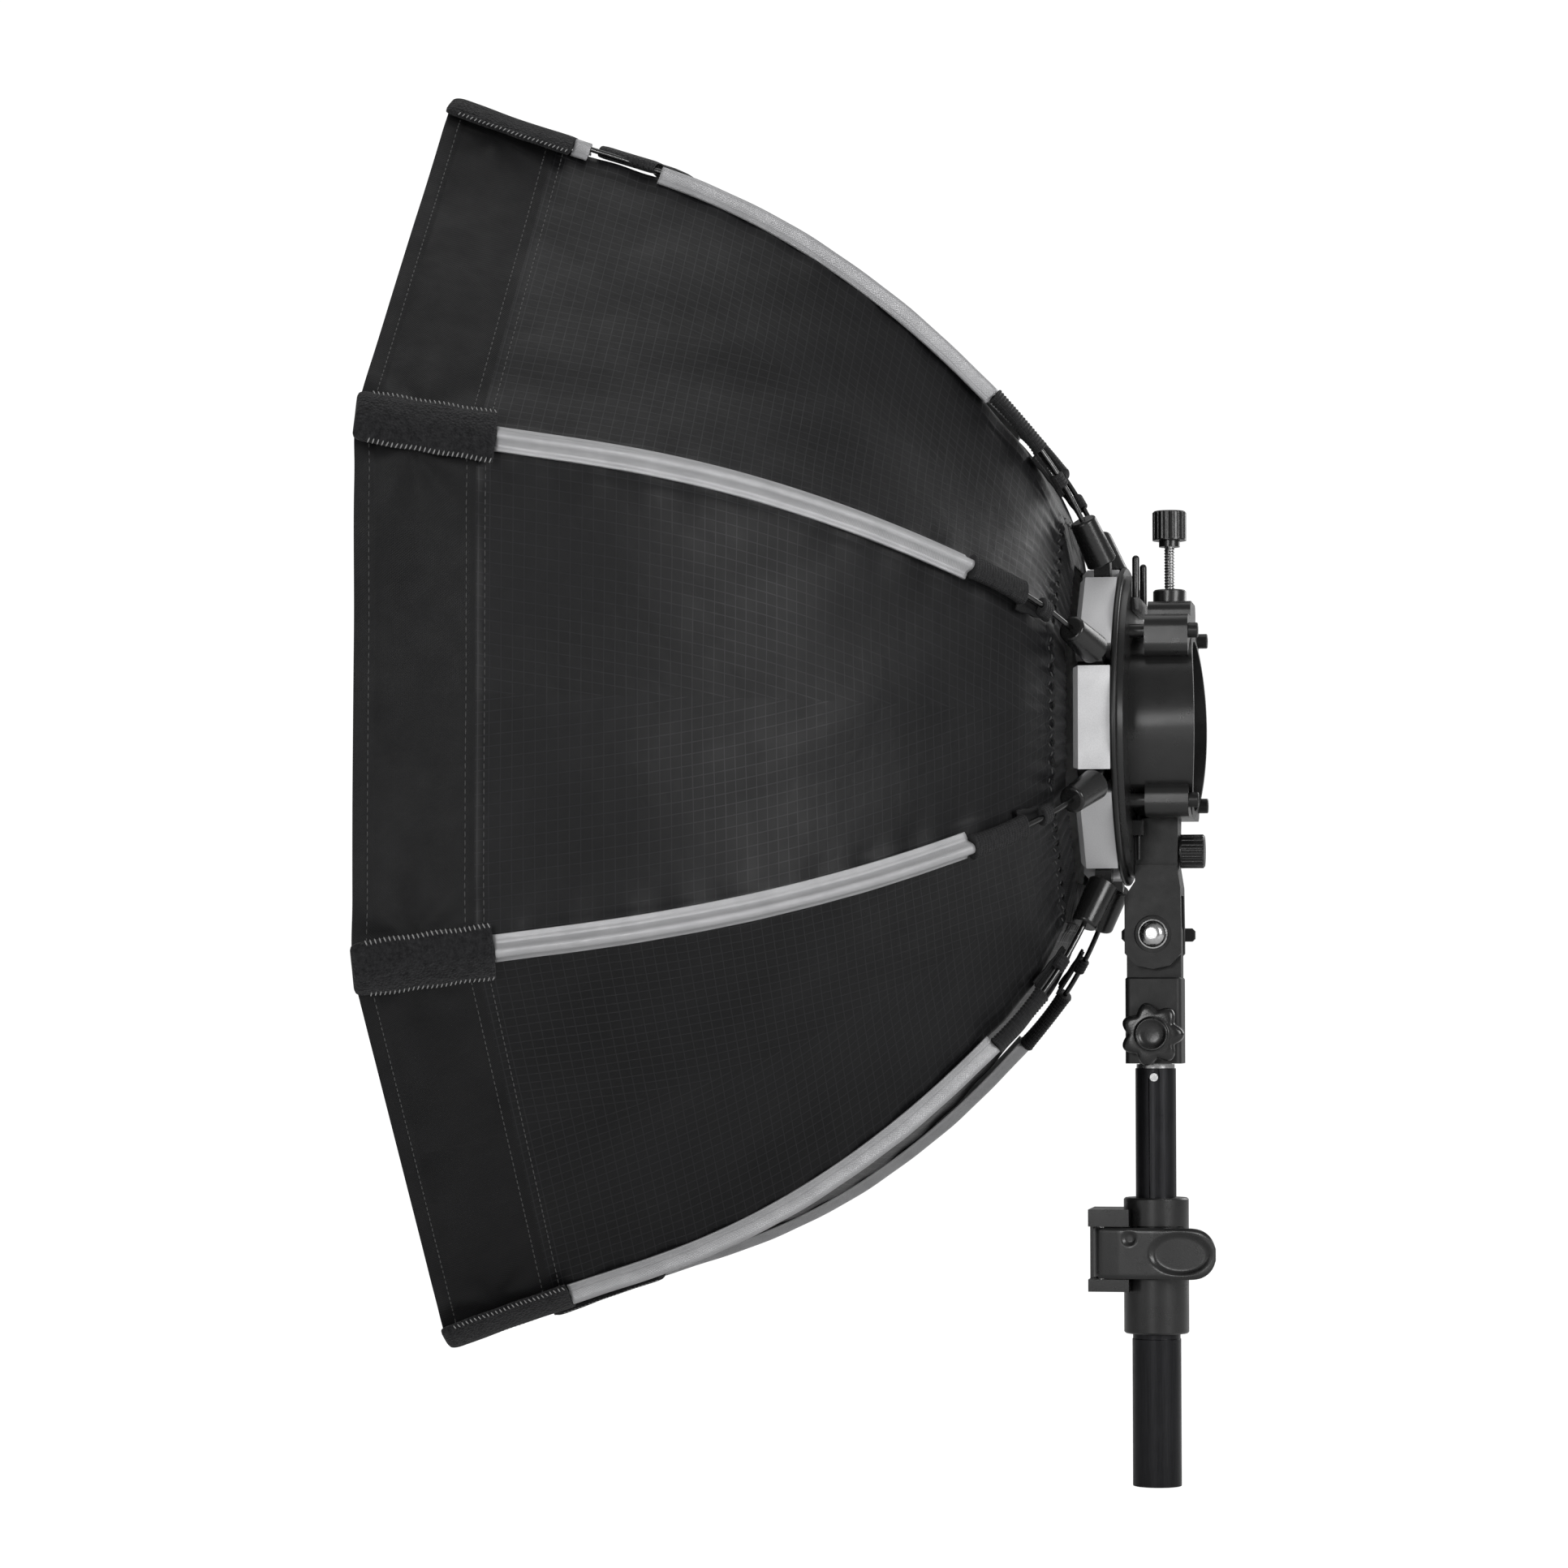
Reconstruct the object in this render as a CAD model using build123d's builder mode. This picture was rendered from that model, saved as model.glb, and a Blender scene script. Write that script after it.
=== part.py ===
from build123d import *
import os
from math import sin, cos, tan, radians, hypot

os.makedirs("parts", exist_ok=True)

# Studio softbox on its flash bracket and stand head. Millimetres, +Z up,
# the softbox faces -Y, the origin is the lower end of the stand tube.

# ---- softbox ----
SIDES = 8
HALF = 180.0 / SIDES  # half the angle between two ribs
RIM_R = 325.0  # axis to a corner of the front rim: a 65 cm softbox
AXIS_Z = 374.0  # height of the softbox's axis
RIM_Y = -330.0  # the plane of the front rim
ROD_R = 1.3
HOLE_R = 1.45  # rod's tunnel in the sleeves
# rib: (distance from the axis, y), from inside its socket to its tip
RIB = [
    (94.2, -26.1),
    (107.2, -31.4),
    (125.0, -39.6),
    (148.0, -53.5),
    (176.0, -76.0),
    (230.0, -132.0),
    (276.5, -206.0),
    (302.5, -274.5),
    (321.5, -324.0),
]
# canopy: (distance from the axis along a rib's plane, y), rear edge to rim
CANOPY = [
    (106.0, -40.5),
    (133.0, -52.0),
    (166.0, -76.0),
    (190.5, -97.0),
    (225.7, -132.0),
    (273.0, -206.0),
    (299.0, -274.5),
    (320.5, RIM_Y),
]
CLOTH = 1.0
SEAM_GAP = 1.0  # from a panel's edge to the rib's plane
DIFFUSER_Y = -279.0
DIFFUSER_APOTHEM = 275.4
SLEEVE_W, SLEEVE_T = 11.0, 5.0
POCKET_W, POCKET_T = 26.0, 5.6
HANDLE_Y = (-230.0, -260.0)
HANDLE_T = 2.0

# ---- hub ----
FLANGE_R, BORE_R = 79.0, 55.0
FLANGE_Y = (-15.0, -12.0)
SEG_IN, SEG_OUT, SEG_Y = 58.5, 76.0, -33.0
SEG_HALF_IN, SEG_HALF_OUT = 18.0, 25.0
PIVOT_R, PIVOT_Y, PIN_R = 64.0, -22.0, 1.5
PIN_HALF = 9.8
LUG_HALF = 4.9
SOCKET_BASE = (85.0, -22.4)
SOCKET_LEN, SOCKET_LEAN = 24.0, 22.0
SOCKET_R0, SOCKET_R1 = 7.6, 6.5

# ---- flash bracket ----
BARREL_R, BARREL_IN = 46.0, 42.0
RING_R, RING_Y = 75.0, (-12.0, -9.0)
REAR_Y, BARREL_Y = 19.5, 23.0
BLOCK_Y0, BLOCK_HALF = -1.7, 38.0
TOP_Z, BOTTOM_Z = 61.3, -46.0
SCREW_POS = [(33.0, 45.0), (-33.0, 45.0), (33.0, -38.0), (-33.0, -38.0)]
CLAMP_Y = 8.0
CLAMP_R, CLAMP_HOLE = 2.6, 2.65

# ---- arm and adapter ----
TILT_Z = 271.0
CHEEK_OUT, CHEEK_IN = 14.0, 8.0
TONGUE = 7.9
ADAPTER_Z = (207.3, 249.7)
ADAPTER_Y = 13.85
STAR_Z = 221.7
REAR_KNOB_Z = 312.0

# ---- stand head ----
TUBE_R, TUBE_IN = 10.0, 8.8
LOWER_R, LOWER_IN = 12.0, 10.8
LOWER_TOP, LOWER_NECK, UPPER_Z = 110.0, 72.0, (20.0, 204.9)
COLLAR_R, COLLAR_Z = 16.0, (74.7, 141.3)
SPIGOT_R = 7.95
EAR_Z = (95.7, 135.9)
LEVER_Z = (102.2, 127.1)
LEVER_PIN = (15.5, -25.5)

AXIS = Axis((0, 0, AXIS_Z), (0, -1, 0))
UP = Location((0, 0, AXIS_Z))


def save(part, name):
    part.label = name
    export_step(part, f"parts/{name}.step")


def at(part, angle):
    """A piece drawn about the Y axis, turned to its place around the axis."""
    turned = part.rotate(Axis((0, 0, 0), (0, -1, 0)), angle)
    return turned.moved(UP)


def on_rib(y):
    """How far along the rib's curve a given y lies, from 0 to 1."""
    low, high = 0.0, 1.0
    for _ in range(40):
        mid = (low + high) / 2
        if (rib_curve @ mid).Y > y:
            low = mid
        else:
            high = mid
    return low


def stretch(y0, y1):
    """The piece of the rib's curve between two values of y."""
    return rib_curve.trim(on_rib(y0), on_rib(y1))


def across(path):
    """The plane across the start of a path, its X along the tangent."""
    return Plane(origin=path @ 0, x_dir=(0, 0, 1), z_dir=path % 0)


rib_curve = Spline(*RIB)

# ---------------------------------------------------------------- ribs
with BuildPart() as rod_base:
    with BuildSketch(across(rib_curve)):
        Circle(ROD_R)
    sweep(path=rib_curve)

lean = radians(SOCKET_LEAN)
SOCKET_DIR = (cos(lean), -sin(lean), 0)
SOCKET_PLANE = Plane(
    origin=(SOCKET_BASE[0], SOCKET_BASE[1], 0),
    x_dir=(0, 0, 1),
    z_dir=SOCKET_DIR,
)

with BuildPart() as socket_base:
    # plastic socket, a cylinder that tapers towards the rod
    with BuildSketch(SOCKET_PLANE):
        Circle(SOCKET_R0)
    with BuildSketch(SOCKET_PLANE.offset(SOCKET_LEN)):
        Circle(SOCKET_R1)
    loft()
    ends = socket_base.edges().filter_by(GeomType.CIRCLE)
    chamfer(ends.sort_by(Axis.X)[0], 0.7)
    fillet(socket_base.edges().filter_by(GeomType.CIRCLE).sort_by(Axis.X)[-1],
           1.6)
    # lug that turns on the hinge pin
    with BuildSketch(Plane.XY):
        with Locations((PIVOT_R, PIVOT_Y)):
            Circle(4.6)
        with Locations(((PIVOT_R + 88) / 2, PIVOT_Y - 0.3)):
            Rectangle(88 - PIVOT_R, 8.0)
    extrude(amount=LUG_HALF, both=True)
    with BuildSketch(Plane.XY):
        with Locations((PIVOT_R, PIVOT_Y)):
            Circle(PIN_R + 0.05)
    extrude(amount=20, both=True, mode=Mode.SUBTRACT)
    # blind hole that the rod sits in
    with BuildSketch(across(rib_curve)):
        Circle(ROD_R + 0.02)
    sweep(path=rib_curve, mode=Mode.SUBTRACT)


def sleeve(y0, y1, wide, thick):
    """A flat sleeve around a stretch of the rib."""
    path = stretch(y0, y1)
    with BuildPart() as made:
        with BuildSketch(across(path)):
            Ellipse(wide / 2, thick / 2)
            Circle(HOLE_R, mode=Mode.SUBTRACT)
        sweep(path=path)
    return made.part


def pocket(y0, y1):
    """The padded corner pocket that holds the tip of the rib."""
    path = stretch(y0, y1)
    with BuildPart() as made:
        with BuildSketch(across(path)):
            RectangleRounded(POCKET_W, POCKET_T, 2.7)
            Circle(HOLE_R, mode=Mode.SUBTRACT)
        sweep(path=path)
        cap = Plane(origin=path @ 1, x_dir=(0, 0, 1), z_dir=path % 1)
        with BuildSketch(cap.offset(0.0)):
            RectangleRounded(POCKET_W, POCKET_T, 2.7)
        extrude(amount=5.5)
    return made.part


elastic = sleeve(-50.5, -71.5, 11.0, 6.0)
tie_band = sleeve(-39.0, -45.0, 6.6, 6.0)
corner = pocket(-270.0, -324.5)
whole = sleeve(-72.0, -269.6, SLEEVE_W, SLEEVE_T)
rear_half = sleeve(-72.0, -228.0, SLEEVE_W, SLEEVE_T)
front_half = sleeve(-262.0, -269.6, SLEEVE_W, SLEEVE_T)

for i in range(SIDES):
    a = HALF + i * 2 * HALF
    n = i + 1
    with BuildPart() as rod:
        add(at(rod_base.part, a))
    save(rod.part, f"rod_{n}")
    with BuildPart() as socket:
        add(at(socket_base.part, a))
    save(socket.part, f"socket_{n}")
    with BuildPart() as cover:
        add(at(elastic, a))
        add(at(tie_band, a))
        add(at(corner, a))
        if n in (2, 3):
            # the silver sleeve is open where the handle holds the rod
            add(at(rear_half, a))
            add(at(front_half, a))
        else:
            add(at(whole, a))
    save(cover.part, f"rib_cover_{n}")

# ---------------------------------------------------------------- canopy
k = cos(radians(HALF))
outer = [(r * k, y) for r, y in CANOPY]
inner = []
for i, (x, y) in enumerate(outer):
    x0, y0 = outer[max(i - 1, 0)]
    x1, y1 = outer[min(i + 1, len(outer) - 1)]
    d = hypot(x1 - x0, y1 - y0)
    inner.append((x + CLOTH * (y1 - y0) / d, y - CLOTH * (x1 - x0) / d))

with BuildPart() as panel_base:
    with BuildSketch(Plane.XY):
        with BuildLine():
            Spline(*outer)
            Line(outer[-1], inner[-1])
            Spline(*inner[::-1])
            Line(inner[0], outer[0])
        make_face()
    extrude(amount=140, both=True)
    with BuildSketch(Plane.XZ.offset(-10)):
        start = SEAM_GAP / sin(radians(HALF))
        far = 400.0
        side = (far - start) * tan(radians(HALF))
        with BuildLine():
            Polyline((start, 0), (far, side), (far, -side), close=True)
        make_face()
    extrude(amount=400, mode=Mode.INTERSECT)

for i in range(SIDES):
    with BuildPart() as panel:
        add(at(panel_base.part, (i + 1) * 2 * HALF))
    save(panel.part, f"canopy_panel_{i + 1}")

with BuildPart() as diffuser:
    with BuildSketch(Plane.XZ.offset(-DIFFUSER_Y)):
        with Locations((0, AXIS_Z)):
            RegularPolygon(DIFFUSER_APOTHEM, SIDES, major_radius=False,
                           rotation=HALF)
    extrude(amount=1.2)
save(diffuser.part, "diffuser")

# webbing handle across the top panel, looped around two ribs
mid_y = sum(HANDLE_Y) / 2
t0, t1 = rib_curve @ on_rib(HANDLE_Y[0]), rib_curve @ on_rib(HANDLE_Y[1])
mid_r = (t0.X + t1.X) / 2
wide = Vector((t1.X - t0.X) * k, t1.Y - t0.Y, 0)
reach = mid_r * sin(radians(HALF))
HANDLE_PLANE = Plane(
    origin=((t0.X + t1.X) / 2 * k, mid_y, 0), x_dir=(0, 0, 1),
    z_dir=(-wide.X, -wide.Y, 0),
)
with BuildPart() as handle_base:
    with BuildSketch(HANDLE_PLANE):
        with BuildLine():
            rise = 10.0
            a0 = ThreePointArc((-reach, 3.2), (0, 3.2 + rise), (reach, 3.2))
            Line((reach, 3.2), (reach, 3.2 + HANDLE_T))
            ThreePointArc((reach, 3.2 + HANDLE_T),
                          (0, 3.2 + rise + HANDLE_T),
                          (-reach, 3.2 + HANDLE_T))
            Line((-reach, 3.2 + HANDLE_T), (-reach, 3.2))
        make_face()
        for s in (-1, 1):
            with Locations(Location((s * reach, 1.4), -s * HALF)):
                Ellipse(8.6, 4.1)
    extrude(amount=wide.length / 2, both=True)
with BuildPart() as tunnel_base:
    with BuildSketch(across(rib_curve)):
        Circle(HOLE_R)
    sweep(path=rib_curve)
with BuildPart() as handle:
    add(at(handle_base.part, 90.0))
    # tunnels of the two rods
    for a in (90.0 - HALF, 90.0 + HALF):
        add(at(tunnel_base.part, a), mode=Mode.SUBTRACT)
save(handle.part, "handle")

# ---------------------------------------------------------------- hub
with BuildPart() as hub_flange:
    with BuildSketch(Plane.XZ.offset(-FLANGE_Y[1])):
        with Locations((0, AXIS_Z)):
            Circle(FLANGE_R)
            Circle(BORE_R, mode=Mode.SUBTRACT)
    extrude(amount=FLANGE_Y[1] - FLANGE_Y[0])
    rim = hub_flange.edges().filter_by(GeomType.CIRCLE)
    chamfer(rim.filter_by(lambda e: abs(e.radius - FLANGE_R) < 0.1), 0.8)
    # inner wall that backs the silver segments
    with BuildSketch(Plane.XZ.offset(-FLANGE_Y[0])):
        with Locations((0, AXIS_Z)):
            Circle(BORE_R + 3)
            Circle(BORE_R, mode=Mode.SUBTRACT)
    extrude(amount=FLANGE_Y[0] - SEG_Y)
save(hub_flange.part, "hub_flange")

with BuildPart() as pin_base:
    with Locations((PIVOT_R, PIVOT_Y, 0)):
        Cylinder(PIN_R, 2 * PIN_HALF)

with BuildPart() as hinge_pins:
    for i in range(SIDES):
        add(at(pin_base.part, HALF + i * 2 * HALF))
save(hinge_pins.part, "hinge_pins")

with BuildPart() as segment_base:
    with BuildSketch(Plane.XZ.offset(-FLANGE_Y[0])):
        with BuildLine():
            Polyline(
                (SEG_IN, -SEG_HALF_IN), (SEG_IN, SEG_HALF_IN),
                (SEG_OUT, SEG_HALF_OUT), (SEG_OUT, -SEG_HALF_OUT),
                close=True,
            )
        make_face()
    extrude(amount=FLANGE_Y[0] - SEG_Y)
    front = segment_base.faces().sort_by(Axis.Y)[0]
    chamfer(front.edges().sort_by(Axis.X)[-1], 2.6)

with BuildPart() as hub_segments:
    for i in range(SIDES):
        add(at(segment_base.part, i * 2 * HALF))
    add(hinge_pins.part, mode=Mode.SUBTRACT)
save(hub_segments.part, "hub_segments")

# ---------------------------------------------------------------- bracket
with BuildPart() as clamp_body:
    # front ring
    with BuildSketch(Plane.XZ.offset(-RING_Y[1])):
        with Locations((0, AXIS_Z)):
            Circle(RING_R)
    extrude(amount=RING_Y[1] - RING_Y[0])
    # barrel around the flash head
    with BuildSketch(Plane.XZ.offset(-BARREL_Y)):
        with Locations((0, AXIS_Z)):
            Circle(BARREL_R)
    extrude(amount=BARREL_Y - RING_Y[1])
    # its rear edge is slightly rounded, fullest at mid height
    with Locations(Location((0, BARREL_Y - 304.0, AXIS_Z), (0, 90, 0))):
        Cylinder(304.0, 200, mode=Mode.INTERSECT)
    # upper and lower blocks that hold the screws
    with BuildSketch(Plane.XZ.offset(-REAR_Y)):
        low = 32.0
        with Locations((0, AXIS_Z + (TOP_Z - 8 + low) / 2)):
            RectangleRounded(2 * BLOCK_HALF, TOP_Z - 8 - low, 7)
        with Locations((0, AXIS_Z + (TOP_Z + low) / 2)):
            RectangleRounded(34, TOP_Z - low, 5)
        with Locations((0, AXIS_Z + (BOTTOM_Z - 29) / 2)):
            RectangleRounded(2 * BLOCK_HALF, -29 - BOTTOM_Z, 7)
    extrude(amount=REAR_Y - BLOCK_Y0)
    # round standoffs between the blocks and the ring
    with BuildSketch(Plane.XZ.offset(-BLOCK_Y0)):
        for x, z in SCREW_POS:
            with Locations((x, AXIS_Z + z)):
                Circle(3.4)
    extrude(amount=BLOCK_Y0 - RING_Y[1])
    # threaded boss of the clamp screw
    with BuildSketch(Plane.XY.offset(AXIS_Z + TOP_Z)):
        with Locations((0, CLAMP_Y)):
            Circle(8.2)
    extrude(amount=6.6)
    chamfer(clamp_body.edges().sort_by(Axis.Z)[-1], 0.8)
    # bore for the flash head
    with BuildSketch(Plane.XZ.offset(-REAR_Y - 5)):
        with Locations((0, AXIS_Z)):
            Circle(BARREL_IN)
    extrude(amount=60, mode=Mode.SUBTRACT)
    # hole for the clamp screw
    with BuildSketch(Plane.XY.offset(AXIS_Z + 30)):
        with Locations((0, CLAMP_Y)):
            Circle(CLAMP_HOLE)
    extrude(amount=60, mode=Mode.SUBTRACT)
    # holes for the ring screws
    with BuildSketch(Plane.XZ.offset(-REAR_Y - 5)):
        for x, z in SCREW_POS:
            with Locations((x, AXIS_Z + z)):
                Circle(2.2)
    extrude(amount=60, mode=Mode.SUBTRACT)
save(clamp_body.part, "clamp_body")

with BuildPart() as ring_screws:
    for x, z in SCREW_POS:
        with Locations(Location((x, (REAR_Y - 12) / 2, AXIS_Z + z),
                                (90, 0, 0))):
            Cylinder(2.2, REAR_Y + 12)
        with Locations(Location((x, REAR_Y + 2.4, AXIS_Z + z),
                                (90, 0, 0))):
            Cylinder(3.7, 4.8)
    chamfer(ring_screws.edges().group_by(Axis.Y)[-1], 0.4)
    # hexagon sockets
    with BuildSketch(Plane.XZ.offset(-REAR_Y - 4.8)):
        for x, z in SCREW_POS:
            with Locations((x, AXIS_Z + z)):
                RegularPolygon(2.0, 6)
    extrude(amount=2.8, mode=Mode.SUBTRACT)
save(ring_screws.part, "ring_screws")

with BuildPart() as latch:
    # sliding bar with two prongs
    with Locations((0, -6.9, AXIS_Z + 59.0)):
        Box(54, 3.8, 6.4)
    for x in (-22, 22):
        with Locations((x, -6.9, AXIS_Z + 71.0)):
            Cylinder(1.8, 21)
        with Locations((x, -6.9, AXIS_Z + 81.5)):
            Sphere(1.8)
save(latch.part, "latch")

with BuildPart() as latch_guide:
    with Locations((18, -6.4, AXIS_Z - 55.8)):
        Cylinder(1.0, 21.6)
    with Locations((18, -6.3, AXIS_Z - 51.0)):
        Box(9, 5.4, 7.2)
save(latch_guide.part, "latch_guide")

# clamp screw, its knurled knob and the pad it presses
with BuildPart() as clamp_screw:
    with Locations((0, CLAMP_Y, AXIS_Z + (31.5 + 95) / 2)):
        Cylinder(CLAMP_R, 95 - 31.5)
save(clamp_screw.part, "clamp_screw")

KNOB_Z = (AXIS_Z + 89.4, AXIS_Z + 92.6, AXIS_Z + 107.2)
with BuildPart() as clamp_knob:
    with BuildSketch(Plane.XY.offset(KNOB_Z[0])):
        with Locations((0, CLAMP_Y)):
            Circle(5.2)
    extrude(amount=KNOB_Z[1] - KNOB_Z[0])
    with BuildSketch(Plane.XY.offset(KNOB_Z[1])):
        with Locations((0, CLAMP_Y)):
            Circle(8.4)
    extrude(amount=KNOB_Z[2] - KNOB_Z[1])
    chamfer(clamp_knob.edges().sort_by(Axis.Z)[-1], 0.8)
    with BuildSketch(Plane.XY.offset(KNOB_Z[1] + 0.6)):
        with Locations((0, CLAMP_Y)):
            with PolarLocations(8.9, 20):
                Circle(0.95)
    extrude(amount=KNOB_Z[2] - KNOB_Z[1], mode=Mode.SUBTRACT)
    with BuildSketch(Plane.XY.offset(KNOB_Z[0] - 1)):
        with Locations((0, CLAMP_Y)):
            Circle(CLAMP_R)
    extrude(amount=95 - 89.4 + 1, mode=Mode.SUBTRACT)
save(clamp_knob.part, "clamp_knob")

with BuildPart() as clamp_pad:
    with Locations((0, CLAMP_Y, AXIS_Z + 30.0)):
        Box(44, 18, 3.0)
    chamfer(clamp_pad.edges().filter_by(Axis.Z), 2.0)
    with Locations((0, CLAMP_Y, AXIS_Z + 32.5)):
        Cylinder(5.0, 3.0)
    with Locations((0, CLAMP_Y, AXIS_Z + 33.0)):
        Cylinder(CLAMP_HOLE, 3.0, mode=Mode.SUBTRACT)
save(clamp_pad.part, "clamp_pad")

with BuildPart() as base_pad:
    # rubber rest of the flash head, shaped to the barrel
    with BuildSketch(Plane.XZ.offset(-REAR_Y + 2)):
        with Locations((0, AXIS_Z)):
            Circle(BARREL_IN)
        with Locations((0, AXIS_Z + 64)):
            Rectangle(200, 200, mode=Mode.SUBTRACT)
    extrude(amount=22)
save(base_pad.part, "base_pad")

# ---------------------------------------------------------------- arm
with BuildPart() as tilt_arm:
    # side view of the arm, wider at the pivot
    with BuildSketch(Plane.YZ):
        with BuildLine():
            Polyline(
                (-8.7, AXIS_Z + BOTTOM_Z), (12.4, AXIS_Z + BOTTOM_Z),
                (12.0, 304.0), (13.6, 294.0), (13.9, TILT_Z),
                (13.9, TILT_Z - 9.5), (8.5, TILT_Z - 15.5),
                (0, TILT_Z - 17.3), (-8.5, TILT_Z - 15.5),
                (-13.9, TILT_Z - 9.5), (-13.9, 289.0), (-8.7, 297.0),
                close=True,
            )
        make_face()
    extrude(amount=CHEEK_OUT, both=True)
    long = tilt_arm.edges().filter_by(Axis.X)
    fillet(long.group_by(Axis.Z)[0], 3.0)
    # slot for the adapter's tongue
    with Locations((0, 0, TILT_Z - 3)):
        Box(2 * CHEEK_IN, 40, 44, mode=Mode.SUBTRACT)
    # the upper part is slimmer than the cheeks
    for s in (-1, 1):
        with Locations((s * 14.0, 0, AXIS_Z + BOTTOM_Z - 11.0)):
            Box(4, 40, 24, mode=Mode.SUBTRACT)
    # recess of the dome nut, and the pivot's hole
    with Locations(Location((CHEEK_OUT, 0, TILT_Z), (0, 90, 0))):
        Cylinder(9.2, 4.0, mode=Mode.SUBTRACT)
    with Locations(Location((0, 0, TILT_Z), (0, 90, 0))):
        Cylinder(4.0, 60, mode=Mode.SUBTRACT)
    # hole of the rear knob's screw
    with Locations(Location((0, 8.0, REAR_KNOB_Z), (90, 0, 0))):
        Cylinder(3.05, 16, mode=Mode.SUBTRACT)
save(tilt_arm.part, "tilt_arm")

with BuildPart() as pivot_bolt:
    with Locations(Location((0, 0, TILT_Z), (0, 90, 0))):
        Cylinder(3.95, 24)
    with Locations(Location((12.6, 0, TILT_Z), (0, 90, 0))):
        Cylinder(7.2, 1.2)
    # domed nut
    with Locations(Location((15.8, 0, TILT_Z), (0, 90, 0))):
        Cylinder(6.6, 5.4)
    fillet(pivot_bolt.edges().sort_by(Axis.X)[-1], 4.2)
save(pivot_bolt.part, "pivot_bolt")

with BuildPart() as tilt_wing:
    # wing nut on the far side of the arm
    with Locations(Location((-18.4, 0, TILT_Z), (0, 90, 0))):
        Cylinder(8.6, 8.4)
    with Locations((-21.4, 0, TILT_Z)):
        Box(5.6, 36.6, 6.6)
    chamfer(tilt_wing.edges().filter_by(Axis.X), 1.4)
    with Locations(Location((-14.0, 0, TILT_Z), (0, 90, 0))):
        Cylinder(4.0, 8, mode=Mode.SUBTRACT)
save(tilt_wing.part, "tilt_wing")

with BuildPart() as rear_knob:
    with Locations(Location((0, 18.8, REAR_KNOB_Z), (90, 0, 0))):
        Cylinder(8.4, 12.0)
    chamfer(rear_knob.edges().sort_by(Axis.Y)[-1], 0.8)
    with BuildSketch(Plane.XZ.offset(-24.4)):
        with Locations((0, REAR_KNOB_Z)):
            with PolarLocations(8.9, 20):
                Circle(0.95)
    extrude(amount=10.6, mode=Mode.SUBTRACT)
    with Locations(Location((0, 6.8, REAR_KNOB_Z), (90, 0, 0))):
        Cylinder(3.0, 13.0)
save(rear_knob.part, "rear_knob")

# ---------------------------------------------------------------- adapter
with BuildPart() as adapter:
    mid = sum(ADAPTER_Z) / 2
    with Locations((0, 0, mid)):
        Box(28, 2 * ADAPTER_Y, ADAPTER_Z[1] - ADAPTER_Z[0])
    fillet(adapter.edges().filter_by(Axis.Z), 3.0)
    chamfer(adapter.edges().group_by(Axis.Z)[-1], 0.8)
    # tongue between the arm's cheeks
    with BuildSketch(Plane.YZ):
        with Locations((0, (TILT_Z + ADAPTER_Z[1]) / 2)):
            Rectangle(2 * ADAPTER_Y - 1.0, TILT_Z - ADAPTER_Z[1] + 2)
        with Locations((0, TILT_Z)):
            Circle(ADAPTER_Y - 0.5)
    extrude(amount=TONGUE, both=True)
    with Locations(Location((0, 0, TILT_Z), (0, 90, 0))):
        Cylinder(4.0, 60, mode=Mode.SUBTRACT)
    # bore on the stand's spigot
    with Locations((0, 0, 226.2)):
        Cylinder(SPIGOT_R + 0.05, 39.0, mode=Mode.SUBTRACT)
    # threaded hole of the star knob
    with Locations(Location((11.0, 0, STAR_Z), (0, 90, 0))):
        Cylinder(3.05, 8, mode=Mode.SUBTRACT)
save(adapter.part, "adapter")

with BuildPart() as star_knob:
    with BuildSketch(Plane.YZ.offset(15.0)):
        with Locations((0, STAR_Z)):
            Circle(12.2)
            with PolarLocations(11.6, 7):
                Circle(4.1)
    extrude(amount=9.5)
    chamfer(star_knob.faces().sort_by(Axis.X)[-1].edges(), 1.0)
    with Locations(Location((25.2, 0, STAR_Z), (0, 90, 0))):
        Cylinder(7.5, 1.6)
    with Locations(Location((11.7, 0, STAR_Z), (0, 90, 0))):
        Cylinder(3.0, 7.0)
save(star_knob.part, "star_knob")

# ---------------------------------------------------------------- stand
with BuildPart() as spigot:
    with Locations((0, 0, (UPPER_Z[1] + 243.5) / 2)):
        Cylinder(SPIGOT_R, 243.5 - UPPER_Z[1])
    chamfer(spigot.edges().sort_by(Axis.Z)[-1], 1.0)
    with Locations((0, 0, UPPER_Z[1] + 1.0)):
        Cylinder(9.4, 2.0)
    with Locations((0, 0, UPPER_Z[1] - 15.0)):
        Cylinder(TUBE_IN, 30.0)
    # rivet through the tube's wall
    with Locations(Location((0, 0, 200.5), (0, 90, 0))):
        Cylinder(2.0, 21.4)
save(spigot.part, "spigot")

with BuildPart() as upper_tube:
    with Locations((0, 0, sum(UPPER_Z) / 2)):
        Cylinder(TUBE_R, UPPER_Z[1] - UPPER_Z[0])
        Cylinder(TUBE_IN, UPPER_Z[1] - UPPER_Z[0], mode=Mode.SUBTRACT)
    with Locations(Location((0, 0, 200.5), (0, 90, 0))):
        Cylinder(2.0, 40, mode=Mode.SUBTRACT)
save(upper_tube.part, "upper_tube")

with BuildPart() as lower_tube:
    # turned down by 0.3 mm where the collar holds it
    with Locations((0, 0, LOWER_TOP / 2)):
        Cylinder(LOWER_R - 0.3, LOWER_TOP)
    with Locations((0, 0, LOWER_NECK / 2)):
        Cylinder(LOWER_R, LOWER_NECK)
    with Locations((0, 0, LOWER_TOP / 2)):
        Cylinder(LOWER_IN, LOWER_TOP, mode=Mode.SUBTRACT)
save(lower_tube.part, "lower_tube")

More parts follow.
